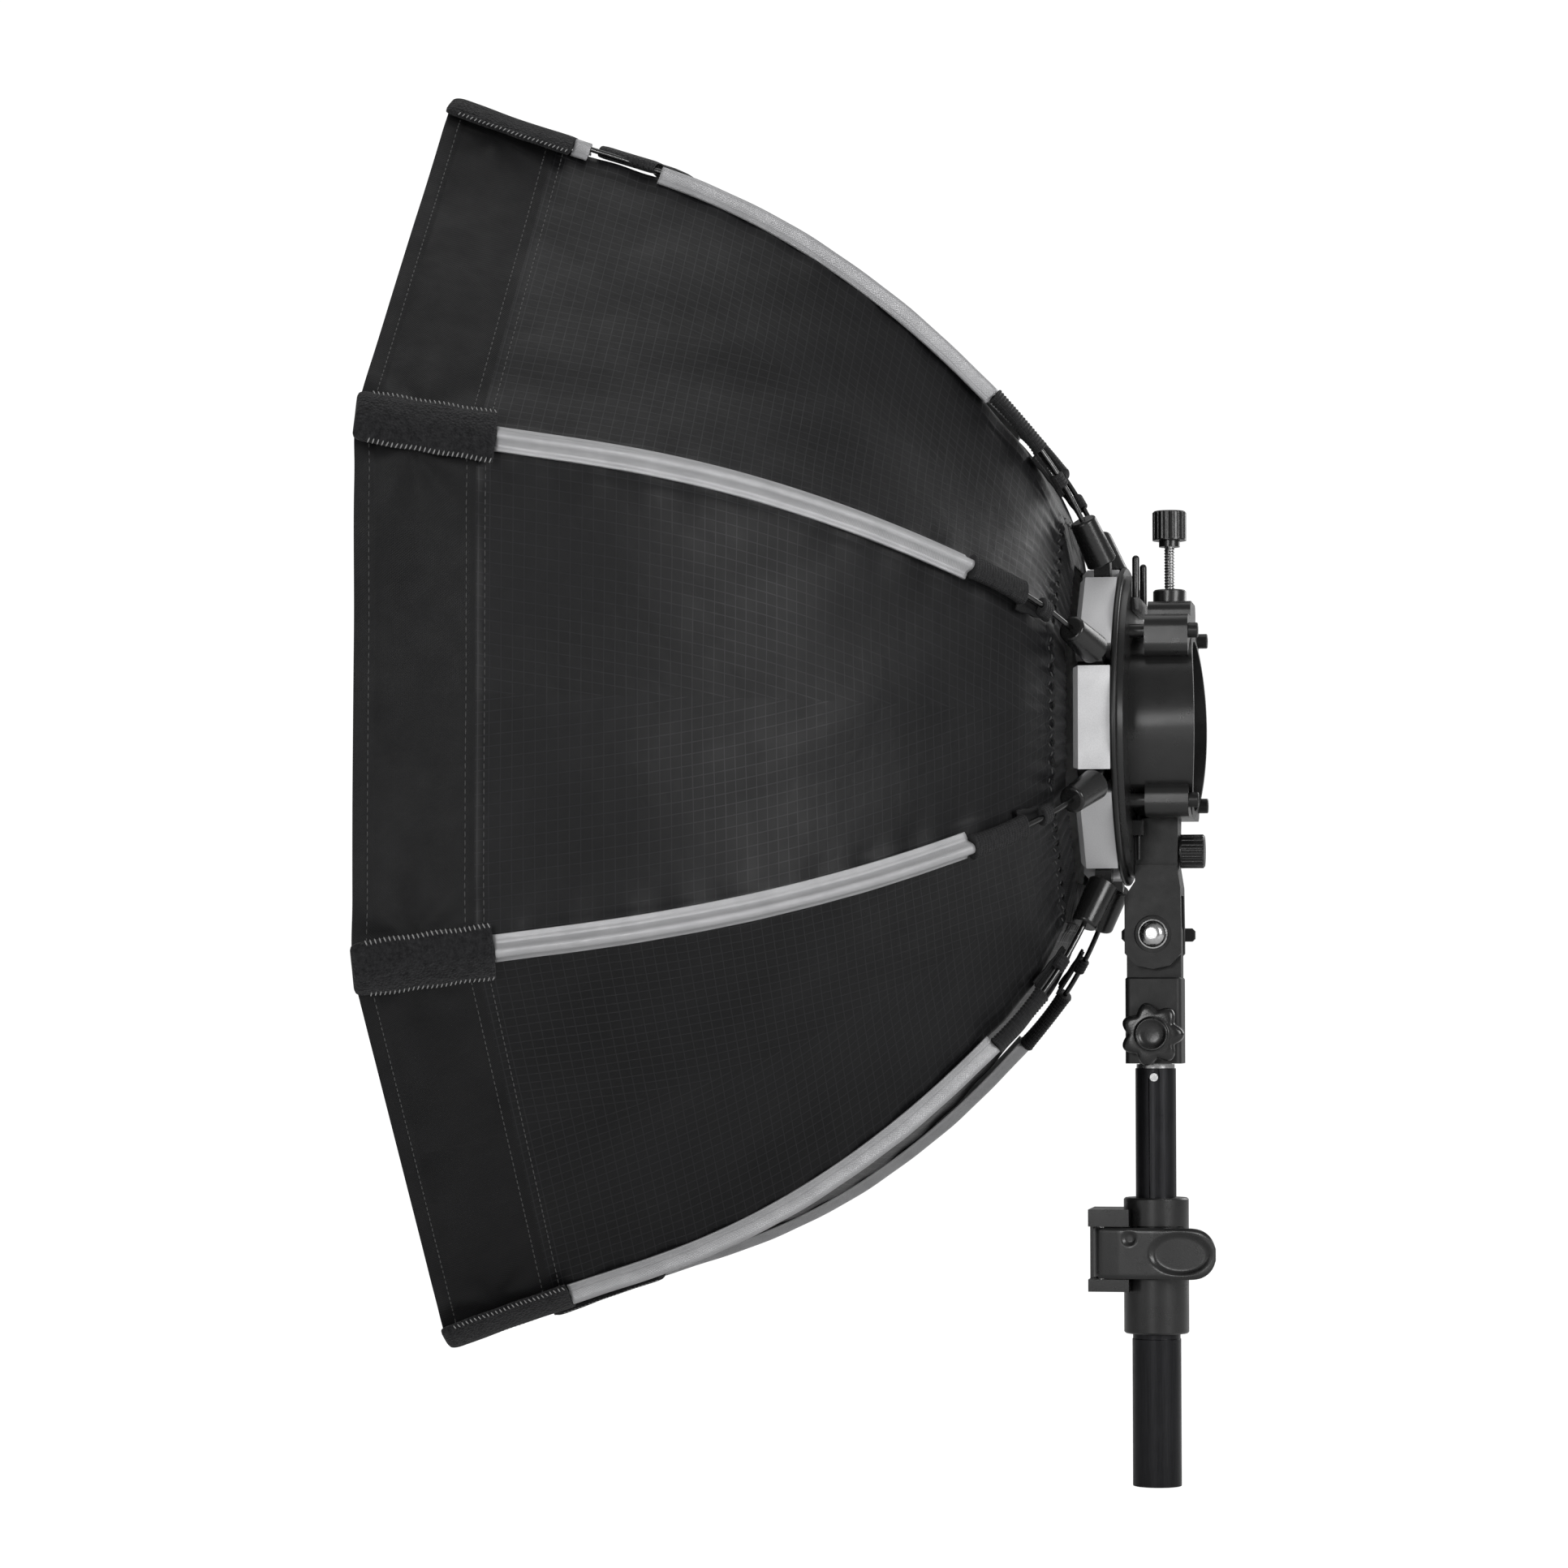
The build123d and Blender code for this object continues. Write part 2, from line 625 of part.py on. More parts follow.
with BuildPart() as collar:
    with Locations((0, 0, sum(COLLAR_Z) / 2)):
        Cylinder(COLLAR_R, COLLAR_Z[1] - COLLAR_Z[0])
    chamfer(collar.edges().filter_by(GeomType.CIRCLE), 0.8)
    # ears that carry the lever
    ear_mid = sum(EAR_Z) / 2
    with Locations((2.0, -22.0, ear_mid)):
        Box(34.0, 20.0, EAR_Z[1] - EAR_Z[0])
    # notch for the lever's head
    lever_mid = sum(LEVER_Z) / 2
    with Locations((24.5, -10.0, lever_mid)):
        Box(33.0, 60.0, LEVER_Z[1] - LEVER_Z[0] + 0.8, mode=Mode.SUBTRACT)
    with Locations((0, 0, lever_mid)):
        Cylinder(COLLAR_R - 2.2, LEVER_Z[1] - LEVER_Z[0] + 0.8)
    # clamping slit
    with Locations((-4.0, -24.0, sum(COLLAR_Z) / 2)):
        Box(2.0, 30.0, 100.0, mode=Mode.SUBTRACT)
    # bores of the two tubes
    with Locations((0, 0, COLLAR_Z[0] + (LOWER_TOP - COLLAR_Z[0]) / 2)):
        Cylinder(LOWER_R - 0.28, LOWER_TOP - COLLAR_Z[0],
                 mode=Mode.SUBTRACT)
    with Locations((0, 0, 100.0)):
        Cylinder(TUBE_R + 0.06, 120.0, mode=Mode.SUBTRACT)
    # hole of the lever's pin
    with Locations((LEVER_PIN[0], LEVER_PIN[1], ear_mid)):
        Cylinder(2.0, 60, mode=Mode.SUBTRACT)
save(collar.part, "collar")

with BuildPart() as lever_pin:
    with Locations((LEVER_PIN[0], LEVER_PIN[1], ear_mid)):
        Cylinder(2.0, EAR_Z[1] - EAR_Z[0])
save(lever_pin.part, "lever_pin")

with BuildPart() as lock_lever:
    # cam head at the pin, thumb plate along the collar
    with BuildSketch(Plane.XY.offset(LEVER_Z[0])):
        with Locations(LEVER_PIN):
            Circle(4.6)
        with BuildLine():
            Polyline(
                (11.0, -26.5), (11.0, -23.6), (17.6, -15.0), (17.0, 0.0),
                (18.0, 14.0), (21.5, 30.0), (25.5, 31.1), (24.5, 14.0),
                (22.2, 0.0), (22.4, -16.0), (20.4, -27.0), (17.0, -29.2),
                close=True,
            )
        make_face()
    extrude(amount=LEVER_Z[1] - LEVER_Z[0])
    with Locations((LEVER_PIN[0], LEVER_PIN[1], lever_mid)):
        Cylinder(2.05, 60, mode=Mode.SUBTRACT)
save(lock_lever.part, "lock_lever")
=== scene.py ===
import bpy
import math
import random
from math import sin, cos, pi, radians
import numpy as np
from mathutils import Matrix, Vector

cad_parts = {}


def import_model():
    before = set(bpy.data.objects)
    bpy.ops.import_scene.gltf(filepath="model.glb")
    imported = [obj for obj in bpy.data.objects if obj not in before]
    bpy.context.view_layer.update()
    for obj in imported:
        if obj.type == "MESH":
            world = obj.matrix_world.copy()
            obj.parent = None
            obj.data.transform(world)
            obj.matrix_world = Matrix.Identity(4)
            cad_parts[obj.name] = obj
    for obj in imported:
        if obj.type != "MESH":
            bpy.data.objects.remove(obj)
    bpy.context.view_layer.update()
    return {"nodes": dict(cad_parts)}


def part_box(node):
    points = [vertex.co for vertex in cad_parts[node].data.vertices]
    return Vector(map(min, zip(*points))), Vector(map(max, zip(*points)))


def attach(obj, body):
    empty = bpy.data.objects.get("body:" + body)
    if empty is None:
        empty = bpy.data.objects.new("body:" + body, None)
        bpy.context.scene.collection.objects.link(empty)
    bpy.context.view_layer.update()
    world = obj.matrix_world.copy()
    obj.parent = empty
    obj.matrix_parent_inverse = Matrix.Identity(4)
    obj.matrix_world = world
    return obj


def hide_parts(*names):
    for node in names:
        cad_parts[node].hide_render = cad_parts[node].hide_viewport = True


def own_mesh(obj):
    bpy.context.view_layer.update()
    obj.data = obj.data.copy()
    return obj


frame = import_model()
nodes = frame["nodes"]
random.seed(7)

# All lengths below are in metres, in the CAD frame. Distances from the
# softbox's axis and along Y are the ones of part.py.
MM = 0.001
HALF = radians(22.5)
AXIS_Z = 0.374
SEAM_Y, RIM_Y = -0.279, -0.330
RIB = [(94.2, -26.1), (107.2, -31.4), (125.0, -39.6), (148.0, -53.5),
       (176.0, -76.0), (230.0, -132.0), (276.5, -206.0), (302.5, -274.5),
       (321.5, -324.0)]
CANOPY = [(106.0, -40.5), (133.0, -52.0), (166.0, -76.0), (190.5, -97.0),
          (225.7, -132.0), (273.0, -206.0), (299.0, -274.5), (320.5, -330.0)]

# ------------------------------------------------------------------ camera
TURN, LOOK_UP = radians(9.5), radians(3.0)
toward = Vector((cos(TURN), sin(TURN), 0))
right = Vector((-sin(TURN), cos(TURN), 0))
up = Vector((0, 0, 1))
hub = Vector((0, -0.02, AXIS_Z))
cam_data = bpy.data.cameras.new("camera")
cam_data.sensor_width = 36.0
cam_data.lens = 100.7
cam = bpy.data.objects.new("camera", cam_data)
cam.location = hub + 2.176 * toward - 0.164 * right - 0.1423 * up
look = -toward * cos(LOOK_UP) + up * sin(LOOK_UP)
cam.rotation_euler = look.to_track_quat("-Z", "Y").to_euler()
bpy.context.scene.collection.objects.link(cam)
bpy.context.scene.camera = cam


# --------------------------------------------------------------- materials
class Nodes:
    """A short way to write a node tree."""

    def __init__(self, name, **sockets):
        self.mat = bpy.data.materials.new(name)
        self.mat.use_nodes = True
        self.tree = self.mat.node_tree
        self.shader = self.tree.nodes["Principled BSDF"]
        for key, value in sockets.items():
            self.shader.inputs[key.replace("_", " ")].default_value = value
        self.mat.diffuse_color = sockets.get("Base_Color", (0.5, 0.5, 0.5, 1))

    def add(self, kind, *inputs, **props):
        node = self.tree.nodes.new("ShaderNode" + kind)
        for key, value in props.items():
            setattr(node, key, value)
        for i, value in enumerate(inputs):
            self.feed(node.inputs[i], value)
        return node

    def feed(self, socket, value):
        if value is None:
            return
        if isinstance(value, bpy.types.NodeSocket):
            self.tree.links.new(value, socket)
        else:
            socket.default_value = value

    def math(self, op, a, b=None, c=None):
        return self.add("Math", a, b, c, operation=op).outputs[0]

    def noise(self, coord, scale, detail=3.0, rough=0.55):
        node = self.add("TexNoise")
        self.feed(node.inputs["Vector"], coord)
        node.inputs["Scale"].default_value = scale
        node.inputs["Detail"].default_value = detail
        node.inputs["Roughness"].default_value = rough
        return node.outputs["Fac"]

    def voronoi(self, coord, scale, feature="F1"):
        node = self.add("TexVoronoi", feature=feature)
        self.feed(node.inputs["Vector"], coord)
        node.inputs["Scale"].default_value = scale
        return node.outputs["Distance"]

    def ramp(self, fac, low, high, a, b):
        """A colour or value that runs from a to b as fac goes low to high."""
        node = self.add("ValToRGB")
        node.color_ramp.elements[0].position = low
        node.color_ramp.elements[1].position = high
        node.color_ramp.elements[0].color = wide(a)
        node.color_ramp.elements[1].color = wide(b)
        self.feed(node.inputs[0], fac)
        return node.outputs[0]

    def span(self, fac, lo, hi, a, b):
        """A value that runs from a to b as fac goes lo to hi."""
        node = self.add("MapRange")
        node.inputs["From Min"].default_value = lo
        node.inputs["From Max"].default_value = hi
        node.inputs["To Min"].default_value = a
        node.inputs["To Max"].default_value = b
        self.feed(node.inputs["Value"], fac)
        return node.outputs["Result"]

    def mix(self, fac, a, b):
        """One colour blended into another."""
        node = self.add("Mix", data_type="RGBA")
        self.feed(node.inputs[0], fac)
        self.feed(node.inputs[6], wide(a))
        self.feed(node.inputs[7], wide(b))
        return node.outputs[2]

    def bump(self, height, distance, strength=1.0, under=None):
        node = self.add("Bump")
        node.inputs["Strength"].default_value = strength
        node.inputs["Distance"].default_value = distance
        self.feed(node.inputs["Height"], height)
        if under is not None:
            self.feed(node.inputs["Normal"], under)
        return node.outputs[0]

    def out(self, socket, value):
        self.feed(self.shader.inputs[socket], value)

    def tone(self, coord, scale, a, b, detail=3, rough=0.55):
        """The base colour, mottled from a to b."""
        self.out("Base Color", self.ramp(
            self.noise(coord, scale, detail, rough), 0.3, 0.7, a, b))

    def gloss(self, coord, scale, a, b, detail=3, rough=0.55):
        """The roughness, mottled from a to b."""
        self.out("Roughness", self.span(
            self.noise(coord, scale, detail, rough), 0.3, 0.7, a, b))

    def object_coord(self):
        return self.add("TexCoord").outputs["Object"]

    def uv(self):
        coord = self.add("UVMap", uv_map="UVMap").outputs[0]
        parts = self.add("SeparateXYZ", coord)
        return coord, parts.outputs[0], parts.outputs[1]

    def weave(self, u, v, rate):
        """Warp and weft threads, as the product of two waves."""
        return self.math("MULTIPLY",
                         self.math("SINE", self.math("MULTIPLY", u, rate)),
                         self.math("SINE", self.math("MULTIPLY", v, rate)))

    def lines(self, x, pitch, width):
        """1 on thin lines every pitch, 0 between them."""
        ramp = self.math("PINGPONG", x, pitch / 2)
        return self.math("LESS_THAN", ramp, width / 2)


def wide(value):
    """A grey level, an RGB or an RGBA as RGBA. A socket stays as it is."""
    if isinstance(value, bpy.types.NodeSocket):
        return value
    if isinstance(value, (int, float)):
        return (value, value, value, 1.0)
    return tuple(value) + (1.0,) * (4 - len(value))


def ripstop_black():
    n = Nodes("ripstop black", Base_Color=(0.007, 0.007, 0.0078, 1),
              Roughness=0.45, Sheen_Weight=0.02, Sheen_Roughness=0.35,
              Specular_IOR_Level=0.24)
    coord, u, v = n.uv()
    grid = n.math("MAXIMUM", n.lines(u, 0.0052, 0.00042),
                  n.lines(v, 0.0052, 0.00042))
    fine = n.weave(u, v, 9000)
    broad = n.noise(coord, 14, 3, 0.55)
    tint = n.ramp(broad, 0.3, 0.72, (0.0045, 0.0045, 0.005),
                  (0.009, 0.009, 0.0098))
    n.out("Base Color", n.mix(n.math("MULTIPLY", grid, 0.7), tint,
                              (0.022, 0.022, 0.024)))
    rough = n.span(n.noise(coord, 45, 4, 0.6), 0.3, 0.7, 0.38, 0.5)
    n.out("Roughness", n.math("SUBTRACT", rough,
                              n.math("MULTIPLY", grid, 0.1)))
    crease = n.bump(n.noise(coord, 26, 4, 0.5), 0.0016, 0.55)
    small = n.bump(n.noise(coord, 120, 3, 0.6), 0.0004, 0.5, crease)
    n.out("Normal", n.bump(n.math("ADD", grid,
                                  n.math("MULTIPLY", fine, 0.35)),
                           0.00006, 0.8, small))
    return n.mat


def skirt_black():
    n = Nodes("skirt cloth", Base_Color=(0.007, 0.007, 0.0075, 1),
              Roughness=0.55, Sheen_Weight=0.03, Sheen_Roughness=0.4,
              Specular_IOR_Level=0.22)
    coord, u, v = n.uv()
    n.tone(coord, 30, (0.005, 0.005, 0.0055), (0.010, 0.010, 0.0105))
    n.gloss(coord, 90, 0.46, 0.58)
    crease = n.bump(n.noise(coord, 34, 4, 0.5), 0.0014, 0.5)
    n.out("Normal", n.bump(n.weave(u, v, 5200), 0.00009, 0.8, crease))
    return n.mat


def lining_silver():
    n = Nodes("silver lining", Base_Color=(0.78, 0.78, 0.79, 1),
              Metallic=0.85, Roughness=0.34)
    coord = n.uv()[0]
    n.tone(coord, 22, (0.68, 0.68, 0.69), (0.84, 0.84, 0.85))
    n.gloss(coord, 70, 0.27, 0.42)
    crease = n.bump(n.noise(coord, 40, 4, 0.55), 0.0018, 0.7)
    pebble = n.voronoi(coord, 900, "SMOOTH_F1")
    n.out("Normal", n.bump(pebble, 0.0001, 0.8, crease))
    return n.mat


def sleeve_silver():
    n = Nodes("silver sleeve", Base_Color=(0.6, 0.6, 0.61, 1),
              Metallic=0.35, Roughness=0.36, Sheen_Weight=0.1)
    coord, u, v = n.uv()
    n.out("Base Color", n.ramp(n.noise(coord, 60, 4), 0.28, 0.75,
                               (0.40, 0.40, 0.41), (0.50, 0.50, 0.51)))
    n.gloss(coord, 160, 0.28, 0.46)
    crease = n.bump(n.noise(coord, 150, 4, 0.6), 0.0007, 0.6)
    n.out("Normal", n.bump(n.weave(u, v, 6200), 0.00008, 0.7, crease))
    return n.mat


def elastic_black():
    n = Nodes("ribbed elastic", Base_Color=(0.013, 0.013, 0.014, 1),
              Roughness=0.6, Sheen_Weight=0.06, Sheen_Roughness=0.5,
              Specular_IOR_Level=0.3)
    coord, u, _ = n.uv()
    n.tone(coord, 500, (0.008, 0.008, 0.009), (0.022, 0.022, 0.023))
    cord = n.math("SINE", n.math("MULTIPLY", u, 7000))
    n.out("Normal", n.bump(cord, 0.0001, 0.9))
    return n.mat


def loop_black():
    n = Nodes("loop fabric", Base_Color=(0.011, 0.011, 0.012, 1),
              Roughness=0.85, Sheen_Weight=0.12, Sheen_Roughness=0.45,
              Specular_IOR_Level=0.2)
    coord = n.object_coord()
    n.out("Base Color", n.ramp(n.noise(coord, 420, 5, 0.7), 0.35, 0.75,
                               (0.006, 0.006, 0.007), (0.032, 0.032, 0.034)))
    tuft = n.bump(n.voronoi(coord, 800), 0.0007, 0.9)
    n.out("Normal", n.bump(n.noise(coord, 2200, 4, 0.75), 0.0005, 0.9, tuft))
    return n.mat


def webbing_black():
    n = Nodes("webbing", Base_Color=(0.016, 0.016, 0.017, 1),
              Roughness=0.55, Sheen_Weight=0.06, Sheen_Roughness=0.4,
              Specular_IOR_Level=0.3)
    coord, u, v = n.uv()
    shift = n.math("MULTIPLY", n.math("SINE", n.math("MULTIPLY", u, 2200)),
                   1.6)
    twill = n.math("SINE", n.math("ADD", n.math("MULTIPLY", v, 3600), shift))
    rows = n.math("SINE", n.math("MULTIPLY", u, 4400))
    n.tone(coord, 300, (0.009, 0.009, 0.010), (0.026, 0.026, 0.027))
    n.out("Normal", n.bump(n.math("ADD", twill, rows), 0.00012, 0.9))
    return n.mat


def thread(name, shade):
    n = Nodes(name, Base_Color=(shade, shade, shade, 1), Roughness=0.55,
              Sheen_Weight=0.3)
    coord = n.object_coord()
    n.tone(coord, 3000, shade * 0.7, shade * 1.2, 2)
    n.out("Normal", n.bump(n.noise(coord, 5000, 2), 0.0001, 0.7))
    return n.mat


def diffuser_white():
    n = Nodes("diffuser cloth", Base_Color=(0.86, 0.86, 0.85, 1),
              Roughness=0.78, Sheen_Weight=0.2)
    coord, u, v = n.uv()
    n.tone(coord, 20, (0.82, 0.82, 0.81), (0.9, 0.9, 0.89))
    crease = n.bump(n.noise(coord, 12, 4, 0.5), 0.003, 0.5)
    n.out("Normal", n.bump(n.weave(u, v, 6000), 0.00008, 0.6, crease))
    return n.mat


def moulded_black(name, shade, rough, grain, spread=0.08, coat=0.0):
    n = Nodes(name, Base_Color=(shade, shade, shade * 1.04, 1),
              Roughness=rough, Coat_Weight=coat, Coat_Roughness=0.2)
    coord = n.object_coord()
    n.out("Base Color", n.ramp(n.noise(coord, 60, 4), 0.25, 0.8,
                               shade * 0.75, shade * 1.3))
    n.gloss(coord, 110, rough - spread, rough + spread, 5, 0.65)
    flow = n.bump(n.noise(coord, 70, 2), 0.0002, 0.25)
    n.out("Normal", n.bump(n.noise(coord, grain, 3, 0.6), 0.00008, 0.55,
                           flow))
    return n.mat


def painted_silver():
    n = Nodes("silver paint", Base_Color=(0.7, 0.7, 0.71, 1), Metallic=0.25,
              Roughness=0.45, Coat_Weight=0.1, Coat_Roughness=0.3)
    coord = n.object_coord()
    flake = n.noise(coord, 2600, 3, 0.7)
    n.out("Base Color", n.ramp(flake, 0.3, 0.72, (0.62, 0.62, 0.63),
                               (0.78, 0.78, 0.79)))
    n.gloss(coord, 80, 0.4, 0.52, 4)
    n.out("Normal", n.bump(n.noise(coord, 1500, 3, 0.6), 0.00006, 0.5))
    return n.mat


def metal(name, shade, rough, scale=(1, 1, 1), tint=1.02):
    n = Nodes(name, Base_Color=(shade, shade, shade * tint, 1), Metallic=1.0,
              Roughness=rough)
    coord = n.add("Mapping", n.object_coord())
    coord.inputs["Scale"].default_value = scale
    streak = n.noise(coord.outputs[0], 700, 4, 0.65)
    n.out("Base Color", n.ramp(streak, 0.3, 0.7, shade * 0.85,
                               shade * 1.12))
    n.out("Roughness", n.span(streak, 0.3, 0.7, rough * 0.8, rough * 1.25))
    n.out("Normal", n.bump(streak, 0.00003, 0.35))
    return n.mat


def anodised_black():
    n = Nodes("black anodised", Base_Color=(0.014, 0.014, 0.016, 1),
              Metallic=0.6, Roughness=0.33)
    coord = n.add("Mapping", n.object_coord())
    coord.inputs["Scale"].default_value = (1, 1, 0.04)
    drawn = n.noise(coord.outputs[0], 1500, 4, 0.6)
    n.out("Base Color", n.ramp(drawn, 0.3, 0.7, (0.010, 0.010, 0.0115),
                               (0.021, 0.021, 0.0235)))
    n.gloss(n.object_coord(), 90, 0.26, 0.4, 5, 0.7)
    n.out("Normal", n.bump(drawn, 0.00003, 0.4))
    return n.mat


M = {
    "ripstop": ripstop_black(), "skirt": skirt_black(),
    "lining": lining_silver(), "sleeve": sleeve_silver(),
    "elastic": elastic_black(), "loop": loop_black(),
    "webbing": webbing_black(), "diffuser": diffuser_white(),
    "thread_light": thread("light thread", 0.3),
    "thread_dark": thread("dark thread", 0.05),
    "plastic": moulded_black("moulded plastic", 0.008, 0.5, 1800, 0.06),
    "satin": moulded_black("satin plastic", 0.013, 0.3, 1500, 0.05, 0.25),
    "glossy": moulded_black("glossy plastic", 0.008, 0.26, 1200, 0.05, 0.2),
    "powder": moulded_black("powder coat", 0.008, 0.34, 2600, 0.06),
    "rubber": moulded_black("rubber", 0.014, 0.75, 900, 0.08),
    "silver": painted_silver(),
    "rod": metal("dark steel", 0.1, 0.2, (1, 1, 1)),
    "steel": metal("plated steel", 0.56, 0.24),
    "tube": anodised_black(),
}

CAD_LOOKS = {
    "lower_tube": "tube", "upper_tube": "tube", "collar": "satin",
    "lever_pin": "steel", "spigot": "steel", "adapter": "plastic",
    "star_knob": "plastic", "tilt_arm": "plastic", "pivot_bolt": "steel",
    "tilt_wing": "plastic", "rear_knob": "glossy", "clamp_body": "satin",
    "ring_screws": "powder", "latch": "glossy", "latch_guide": "powder",
    "clamp_knob": "glossy", "clamp_pad": "rubber", "base_pad": "rubber",
    "hub_flange": "powder", "hub_segments": "silver", "hinge_pins": "steel",
}
for i in range(1, 9):
    CAD_LOOKS[f"rod_{i}"] = "rod"
    CAD_LOOKS[f"socket_{i}"] = "glossy"
BEVEL = {
    "hub_segments": 0.0006, "clamp_body": 0.0007, "tilt_arm": 0.0007,
    "adapter": 0.0006, "collar": 0.0006, "star_knob": 0.0005,
    "tilt_wing": 0.0006, "latch": 0.0004, "latch_guide": 0.0003,
    "hub_flange": 0.0004, "ring_screws": 0.0004, "clamp_pad": 0.0005,
    "base_pad": 0.0004, "lower_tube": 0.0003, "upper_tube": 0.0003,
    "pivot_bolt": 0.0003, "rear_knob": 0.0003, "clamp_knob": 0.0003,
}
for name, look in CAD_LOOKS.items():
    node = nodes[name]
    if not node.material_slots:
        node.data.materials.append(M[look])
    for s in node.material_slots:
        s.link = "OBJECT"
        s.material = M[look]
    if name in BEVEL:
        weld = node.modifiers.new("weld", "WELD")
        weld.merge_threshold = 1e-6
        edge = node.modifiers.new("edge", "BEVEL")
        edge.width = BEVEL[name]
        edge.segments = 2
        edge.limit_method = "ANGLE"
        edge.angle_limit = radians(35)
        edge.use_clamp_overlap = True
        shade = node.modifiers.new("shade", "WEIGHTED_NORMAL")
        shade.keep_sharp = False
        shade.weight = 60


# ------------------------------------------------------------ mesh helpers
def obj(name, verts, faces, mats, face_mats=None, uvs=None, normals=None,
        sharp=None):
    """A mesh object. uvs is one pair per vertex, normals one per loop."""
    mesh = bpy.data.meshes.new(name)
    mesh.from_pydata([tuple(map(float, p)) for p in verts], [],
                     [tuple(map(int, f)) for f in faces])
    for m in mats:
        mesh.materials.append(M[m])
    if face_mats is not None:
        mesh.polygons.foreach_set("material_index",
                                  np.asarray(face_mats, np.int32))
    mesh.polygons.foreach_set("use_smooth",
                              np.ones(len(mesh.polygons), bool))
    loops = np.zeros(len(mesh.loops), np.int32)
    mesh.loops.foreach_get("vertex_index", loops)
    if uvs is not None:
        layer = mesh.uv_layers.new(name="UVMap")
        layer.data.foreach_set("uv", np.asarray(uvs, np.float32)[loops]
                               .ravel())
    if sharp is not None:
        flags = np.zeros(len(mesh.edges), bool)
        pairs = np.zeros(len(mesh.edges) * 2, np.int32)
        mesh.edges.foreach_get("vertices", pairs)
        wanted = {tuple(sorted(p)) for p in sharp}
        for k, (a, b) in enumerate(pairs.reshape(-1, 2)):
            if (min(a, b), max(a, b)) in wanted:
                flags[k] = True
        mesh.edges.foreach_set("use_edge_sharp", flags)
    mesh.validate()
    if normals is not None:
        mesh.normals_split_custom_set([tuple(x) for x in normals])
    made = bpy.data.objects.new(name, mesh)
    bpy.context.scene.collection.objects.link(made)
    return made


def tube_faces(count, size):
    """The faces of a tube of count rings of size points, its ends capped."""
    faces = []
    for k in range(count - 1):
        for c in range(size):
            d = (c + 1) % size
            faces.append((k * size + c, k * size + d, (k + 1) * size + d,
                          (k + 1) * size + c))
    faces.append(tuple(range(size))[::-1])
    faces.append(tuple((count - 1) * size + c for c in range(size)))
    return faces


def shell(name, outer, inner, uv, mats, under=0, out_normals=None):
    """A closed sheet between two grids of points, its rim walled and crisp.
    under is the material of the inner side."""
    rows, cols = outer.shape[:2]
    verts = np.concatenate([outer.reshape(-1, 3), inner.reshape(-1, 3)])
    index = np.arange(rows * cols).reshape(rows, cols)
    other = index + rows * cols
    faces, which = [], []
    for r in range(rows - 1):
        for c in range(cols - 1):
            quad = (index[r, c], index[r, c + 1], index[r + 1, c + 1],
                    index[r + 1, c])
            faces += [quad, tuple(x + rows * cols for x in quad[::-1])]
            which += [0, under]
    sheet_faces = len(faces)
    sides = [(index[0], other[0], True), (index[-1], other[-1], False),
             (index[:, 0], other[:, 0], False),
             (index[:, -1], other[:, -1], True)]
    crisp = []
    for a, b, flip in sides:
        for k in range(len(a) - 1):
            quad = (a[k], b[k], b[k + 1], a[k + 1])
            faces.append(quad if flip else quad[::-1])
            which.append(0)
            crisp += [(a[k], a[k + 1]), (b[k], b[k + 1])]
    for r, c in ((0, 0), (0, -1), (-1, 0), (-1, -1)):
        crisp.append((index[r, c], other[r, c]))
    uvs = np.concatenate([uv.reshape(-1, 2), uv.reshape(-1, 2)])
    normals = None
    if out_normals is not None:
        flat = out_normals.reshape(-1, 3)
        normals = []
        for k, f in enumerate(faces):
            if k >= sheet_faces:
                normals += [(0.0, 0.0, 0.0)] * 4
            elif k % 2 == 0:
                normals += [flat[x] for x in f]
            else:
                normals += [-flat[x - rows * cols] for x in f]
    return obj(name, verts, faces, mats, which, uvs, normals, crisp)


def lengths(points):
    """The length along a row of points at each of them."""
    return np.concatenate([[0], np.cumsum(np.linalg.norm(
        np.diff(points, axis=0), axis=1))])


def point_at(s, table_s, line):
    """The two coordinates of a line at lengths s."""
    return (np.interp(s, table_s, line[:, 0]),
            np.interp(s, table_s, line[:, 1]))


def relax(row, times):
    """Smooth a row of values in place, its two ends fixed."""
    for _ in range(times):
        row[1:-1] = (row[:-2] + 2 * row[1:-1] + row[2:]) / 4


def smooth_curve(points, count=900):
    """Evenly spaced points on a natural cubic spline, and its length."""
    p = np.array(points, float) * MM
    t = lengths(p)
    n = len(p)
    h = np.diff(t)
    a = np.zeros((n, n))
    b = np.zeros((n, 2))
    a[0, 0] = a[-1, -1] = 1
    for k in range(1, n - 1):
        a[k, k - 1:k + 2] = h[k - 1], 2 * (h[k - 1] + h[k]), h[k]
        b[k] = 6 * ((p[k + 1] - p[k]) / h[k] - (p[k] - p[k - 1]) / h[k - 1])
    m = np.linalg.solve(a, b)
    u = np.linspace(0, t[-1], count)
    k = np.clip(np.searchsorted(t, u, side="right") - 1, 0, n - 2)
    w = (u - t[k])[:, None]
    hk = h[k][:, None]
    out = (m[k] * (hk - w) ** 3 + m[k + 1] * w ** 3) / (6 * hk) \
        + (p[k] / hk - m[k] * hk / 6) * (hk - w) \
        + (p[k + 1] / hk - m[k + 1] * hk / 6) * w
    s = lengths(out)
    even = np.linspace(0, s[-1], count)
    return even, np.stack(point_at(even, s, out), 1)


canopy_s, canopy_line = smooth_curve(CANOPY)
rib_s, rib_line = smooth_curve(RIB)


